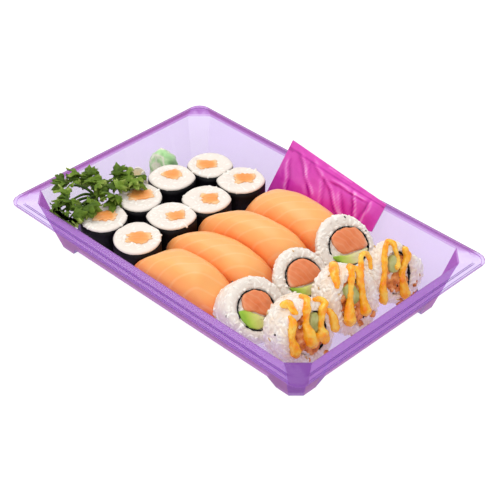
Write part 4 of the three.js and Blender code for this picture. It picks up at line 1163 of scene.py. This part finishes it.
def tube(name, path, radii, rounding=1):
    """A round tapering tube along a few places."""
    data = bpy.data.curves.new(name, "CURVE")
    data.dimensions = "3D"
    data.bevel_depth = 1.0 * MM
    data.bevel_resolution = rounding
    data.resolution_u = 10
    data.use_fill_caps = True
    spline = data.splines.new("BEZIER")
    spline.bezier_points.add(len(path) - 1)
    for point, radius, knot in zip(path, radii, spline.bezier_points):
        knot.co = point * MM
        knot.handle_left_type = knot.handle_right_type = "AUTO"
        knot.radius = radius
    choose(add_object(name, data))
    bpy.ops.object.convert(target="MESH")
    return bpy.context.active_object


class SUSHI_OT_sauce(bpy.types.Operator):
    """Strands of sauce over the crispy rolls"""

    bl_idname = "sushi.sauce"
    bl_label = "Sauce"

    def execute(self, context):
        paint = surface_material("spicy_mayonnaise")
        for roll in CRISPY_ROLLS:
            place = roll_place(roll)
            face = Vector((0, 0, roll.depth / 2))
            strands = []
            for route in STRANDS[roll.name]:
                path = [place @ ((Vector(knot[:3]) + face) * MM) / MM for knot in route]
                radii = [knot[3] for knot in route]
                first = path[0] + (path[0] - path[1]).normalized() * radii[0] * 0.8
                last = path[-1] + (path[-1] - path[-2]).normalized() * radii[-1] * 0.8
                radii = [radii[0] * 0.45, *radii, radii[-1] * 0.45]
                strands.append(tube("strand", [first, *path, last], radii, 4))
            piece = join(*strands)
            piece.name = roll.name + "_sauce"
            apply_modifier(piece, "REMESH", mode="VOXEL", voxel_size=0.00045)
            apply_modifier(piece, "SMOOTH", factor=0.7, iterations=9)
            roughen(piece, 3, 0.5)
            settle(piece, paint, "rice", roll.name + "_rice")
        return {"FINISHED"}


class SUSHI_OT_seeds(bpy.types.Operator):
    """Toasted seeds and dark specks on the lying rolls"""

    bl_idname = "sushi.seeds"
    bl_label = "Seeds and specks"

    def execute(self, context):
        toasted, dark = surface_material("toasted_sesame"), surface_material("black_sesame")
        seed = seed_shape(2.0, 1.15, 0.8, 0.5, 6, 5)
        bit = seed_shape(1.5, 1.0, 0.7, 0.2, 6, 4)
        for k, roll in enumerate(SALMON_ROLLS + CRISPY_ROLLS):
            core = bpy.data.objects[roll.name + "_grains"]
            tan_gap, dark_gap = (7.2, 10.0) if roll in CRISPY_ROLLS else (13.0, 12.0)
            seeds = 500 + k, 510 + k
            tan = strew(roll.name + "_seeds", seed, core, tan_gap, seeds, 0.25, share=2.0, tilt=0.1)
            settle(tan, toasted, "fried_prawn")
            seeds = 520 + k, 530 + k
            black = strew(roll.name + "_specks", bit, core, dark_gap, seeds, 0.2, share=1.2, tilt=0.1)
            settle(black, dark, "seaweed")
        return {"FINISHED"}


def leaflet_shape():
    """A thin curled leaflet with three lobes and a cut edge, 1 mm long: its points and faces."""
    loops = []
    for share in (0.1, 0.4, 0.7, 1.0):
        loop = []
        for angle in circle(40):
            near = min(abs((angle - at + math.pi) % (2 * math.pi) - math.pi) for at in LOBES)
            reach = mix(0.3, 1.0, math.exp(-((near / 0.5) ** 2))) * (1 + 0.13 * math.cos(angle * 14))
            r = share * reach
            curl = 0.3 * math.sin(5 * angle) * r**2 - 0.4 * r**2 + 0.18 * math.cos(13.5 * angle) * r**3
            loop.append(Vector((r * math.cos(angle) + 0.35, r * math.sin(angle), curl)))
        loops.append(loop)
    under = [[p - Vector((0, 0, 0.09)) for p in loop] for loop in loops[::-1]]
    points, faces = shape_of(build_loops("leaflet", loops + under))
    return points / MM, faces


class SUSHI_OT_parsley(bpy.types.Operator):
    """Curled parsley in tufts on thin stalks"""

    bl_idname = "sushi.parsley"
    bl_label = "Parsley"

    def execute(self, context):
        points, faces = leaflet_shape()
        reach = np.hypot(points[:, 0] - 0.35, points[:, 1])
        rng = np.random.default_rng(11)
        leaflets, tones, stalks = [], [], []
        fork, root = Vector(PARSLEY_FORK), Vector(PARSLEY_ROOT)
        drop, bend = Vector((0, 0, 1)), Vector((0, 0, 1.4))
        for *place, facing in PARSLEY_TUFTS:
            tuft = Vector(place)
            stalks.append([fork - drop, fork.lerp(tuft, 0.5) + bend, tuft - drop])
            for k in range(LEAFLETS):
                spin = math.radians(facing) + rng.uniform(-1.3, 1.3) + (k > 4) * 1.6
                away = rng.uniform(0.3, 3.0)
                at = tuft + Vector((math.cos(spin) * away, math.sin(spin) * away, rng.uniform(-1.8, 1.6)))
                size = rng.uniform(4.0, 6.0)
                tilt = Matrix.Rotation(spin, 3, "Z") @ Matrix.Rotation(rng.uniform(-0.7, 0.9), 3, "Y")
                tilt = tilt @ Matrix.Rotation(rng.uniform(-0.6, 0.6), 3, "X")
                placed = points * size @ np.array(tilt).T + np.array(at)
                for row in placed:
                    row[:] = inside_tray(Vector(row))
                placed[:, 2] = np.minimum(placed[:, 2], PARSLEY_TOP)
                leaflets.append(placed * MM)
                # Each leaflet gets a random tone, and its rim is made lighter: a painted highlight.
                tones += list(rng.uniform(0.0, 0.5) + 0.3 * reach**2)
        stalks.append([root, root.lerp(fork, 0.5) + Vector((1, 0, 0)), fork])
        piece = copies("parsley_sprig", leaflets, faces, tones)
        join(piece, *[tube("stalk", path, STALK) for path in stalks])
        settle(piece, surface_material("curled_parsley"), "parsley", "parsley")
        return {"FINISHED"}


class SUSHI_OT_pickles(bpy.types.Operator):
    """Pickled ginger and wasabi"""

    bl_idname = "sushi.pickles"
    bl_label = "Ginger and wasabi"

    def execute(self, context):
        slices = from_solid("ginger_slices", "ginger")
        settle(slices, surface_material("pickled_ginger"), "pickled_ginger", "ginger")
        heap = from_solid("wasabi_heap", "wasabi", cuts=2)
        roughen(heap, 5, 1.2)
        roughen(heap, 2, 0.5)
        settle(heap, surface_material("wasabi_paste"), "wasabi", "wasabi")
        return {"FINISHED"}


def sachet_fold(s, t):
    """Height of the creases of the sachet at shares along it and down it: 1 is a sharp ridge."""
    here, total = Vector((s * SACHET_LENGTH, t * SACHET_DEPTH)), 0
    for *ends, strength in FOLDS:
        start, end = (Vector((a * SACHET_LENGTH, b * SACHET_DEPTH)) for a, b in ends)
        along = (end - start).normalized()
        far = (here - start).dot(along)
        past = max(0, -far, far - (end - start).length) / 3
        off = ((here - start).cross(along) + 1.2 * noise.noise(here.to_3d() / 9)) / 0.8
        total += strength * off * math.exp(0.5 - off**2 / 2 - past**2)
    return total


class SUSHI_OT_sachet(bpy.types.Operator):
    """Sachet of plain magenta film with creases"""

    bl_idname = "sushi.sachet"
    bl_label = "Sachet"

    def execute(self, context):
        left, right, down = Vector(SACHET_LEFT), Vector(SACHET_RIGHT), Vector(SACHET_DOWN).normalized()
        facing = (right - left).cross(down).normalized() * -1
        tall, middle, short = SACHET_HEIGHTS
        loops = []
        for i in range(SACHET_COLUMNS + 1):
            s = i / SACHET_COLUMNS
            height = mix(tall, middle, 2 * s) if s < 0.5 else mix(middle, short, 2 * s - 1)
            front, back = [], []
            for j in range(SACHET_ROWS + 1):
                t = j / SACHET_ROWS
                at = left.lerp(right, s) + down * height * t
                edge = min(s * SACHET_LENGTH, (1 - s) * SACHET_LENGTH, t * height, (1 - t) * height)
                swell = math.sin(math.pi * s) * math.sin(math.pi * t) if 0 < s < 1 and 0 < t < 1 else 0
                full = math.sqrt(swell) * min(edge / 4, 1)
                wave = noise.noise(Vector((s * 5, t * 2.5, 1)))
                crease = (0.5 * sachet_fold(s, t) + 0.9 * wave) * min(edge / 7, 1)
                half = SACHET_SEAL + SACHET_BULGE * full
                front.append(at + facing * (half + crease))
                back.append(at + facing * (-half * 0.6 + crease * 0.3))
            loops.append(front + back[::-1])
        piece = build_loops("sauce_sachet", loops)
        width = (right - left).length

        # Painted shade in the creases and painted highlight on the ridges, plus a light and a dark line
        # of the top seal.
        def fold(p):
            s = (p - left).dot(right - left) / width**2
            t = (p - left.lerp(right, s)).dot(down) / mix(tall, short, s)
            seal = 0.2 if 0.03 < t < 0.055 else (-0.25 if 0.11 < t < 0.14 else 0)
            return max(0, min(0.9, 0.36 + 0.4 * sachet_fold(s, t) + seal))

        carry(piece, "fold", fold)
        settle(piece, surface_material("magenta_film"), "sachet_foil", "sachet", angle=40)
        return {"FINISHED"}


class SUSHI_OT_stage(bpy.types.Operator):
    """Paper floor, soft lights and the camera"""

    bl_idname = "sushi.stage"
    bl_label = "Stage"

    def execute(self, context):
        stage = context.scene.sushi_stage
        deselect()
        bpy.ops.mesh.primitive_plane_add(size=6)
        floor = bpy.context.active_object
        floor.name = "paper_floor"
        paper, tree, _ = start_material("studio_paper")
        grey, white = linear("#808080"), linear("#FFFFFF")
        surface(tree, Base_Color=grey, Roughness=0.9, Emission_Color=white, Emission_Strength=0.92)
        floor.data.materials.append(paper)
        for name, place, size, power in (
            ("key_light", (-0.35, 0.05, 0.95), 0.8, stage.key_power),
            ("fill_light", (0.55, -0.75, 0.55), 0.9, stage.fill_power),
        ):
            bpy.ops.object.light_add(type="AREA", location=place)
            light = bpy.context.active_object
            light.name = name
            light.data.size = size
            light.data.energy = power
            light.rotation_euler = (-Vector(place)).to_track_quat("-Z", "Y").to_euler()
        world = bpy.data.worlds.new("studio")
        world.use_nodes = True
        sky = world.node_tree.nodes["Background"].inputs
        sky["Color"].default_value, sky["Strength"].default_value = white, stage.sky
        context.scene.world = world
        azimuth, elevation, away = math.radians(45.15), math.radians(37.51), 0.7687
        level, rise = math.cos(elevation), math.sin(elevation)
        back = Vector((math.sin(azimuth) * level, -math.cos(azimuth) * level, rise))
        bpy.ops.object.camera_add(location=back * away)
        camera = bpy.context.active_object
        camera.name = "studio_camera"
        camera.rotation_mode = "QUATERNION"
        camera.rotation_quaternion = (-back).to_track_quat("-Z", "Y")
        camera.data.sensor_width = 36
        camera.data.lens = 111.285
        camera.data.shift_x = 0.0137
        camera.data.shift_y = 0.045
        camera.data.clip_start, camera.data.clip_end = 0.01, 20
        context.scene.camera = camera
        context.scene.view_settings.view_transform = "Standard"
        return {"FINISHED"}


class SUSHI_PT_panel(bpy.types.Panel):
    """Lists the pieces of the tray"""

    bl_idname = "SUSHI_PT_panel"
    bl_label = "Sushi tray"
    bl_space_type = "VIEW_3D"
    bl_region_type = "UI"
    bl_category = "Sushi"

    def draw(self, context):
        for operator in OPERATORS:
            self.layout.operator(operator.bl_idname)


OPERATORS = (
    SUSHI_OT_tray,
    SUSHI_OT_small_rolls,
    SUSHI_OT_nigiri,
    SUSHI_OT_salmon_rolls,
    SUSHI_OT_crispy_rolls,
    SUSHI_OT_sauce,
    SUSHI_OT_seeds,
    SUSHI_OT_parsley,
    SUSHI_OT_pickles,
    SUSHI_OT_sachet,
    SUSHI_OT_stage,
)
CLASSES = (SUSHI_PG_food, SUSHI_PG_stage, *OPERATORS, SUSHI_PT_panel)


def register():
    for kind in CLASSES:
        bpy.utils.register_class(kind)
    bpy.types.Scene.sushi_food = bpy.props.PointerProperty(type=SUSHI_PG_food)
    bpy.types.Scene.sushi_stage = bpy.props.PointerProperty(type=SUSHI_PG_stage)


def unregister():
    del bpy.types.Scene.sushi_stage
    del bpy.types.Scene.sushi_food
    for kind in reversed(CLASSES):
        bpy.utils.unregister_class(kind)


def main():
    register()
    bpy.ops.sushi.tray()
    bpy.ops.sushi.small_rolls()
    bpy.ops.sushi.nigiri()
    bpy.ops.sushi.salmon_rolls()
    bpy.ops.sushi.crispy_rolls()
    bpy.ops.sushi.sauce()
    bpy.ops.sushi.seeds()
    bpy.ops.sushi.parsley()
    bpy.ops.sushi.pickles()
    bpy.ops.sushi.sachet()
    bpy.ops.sushi.stage()


if __name__ == "__main__":
    main()
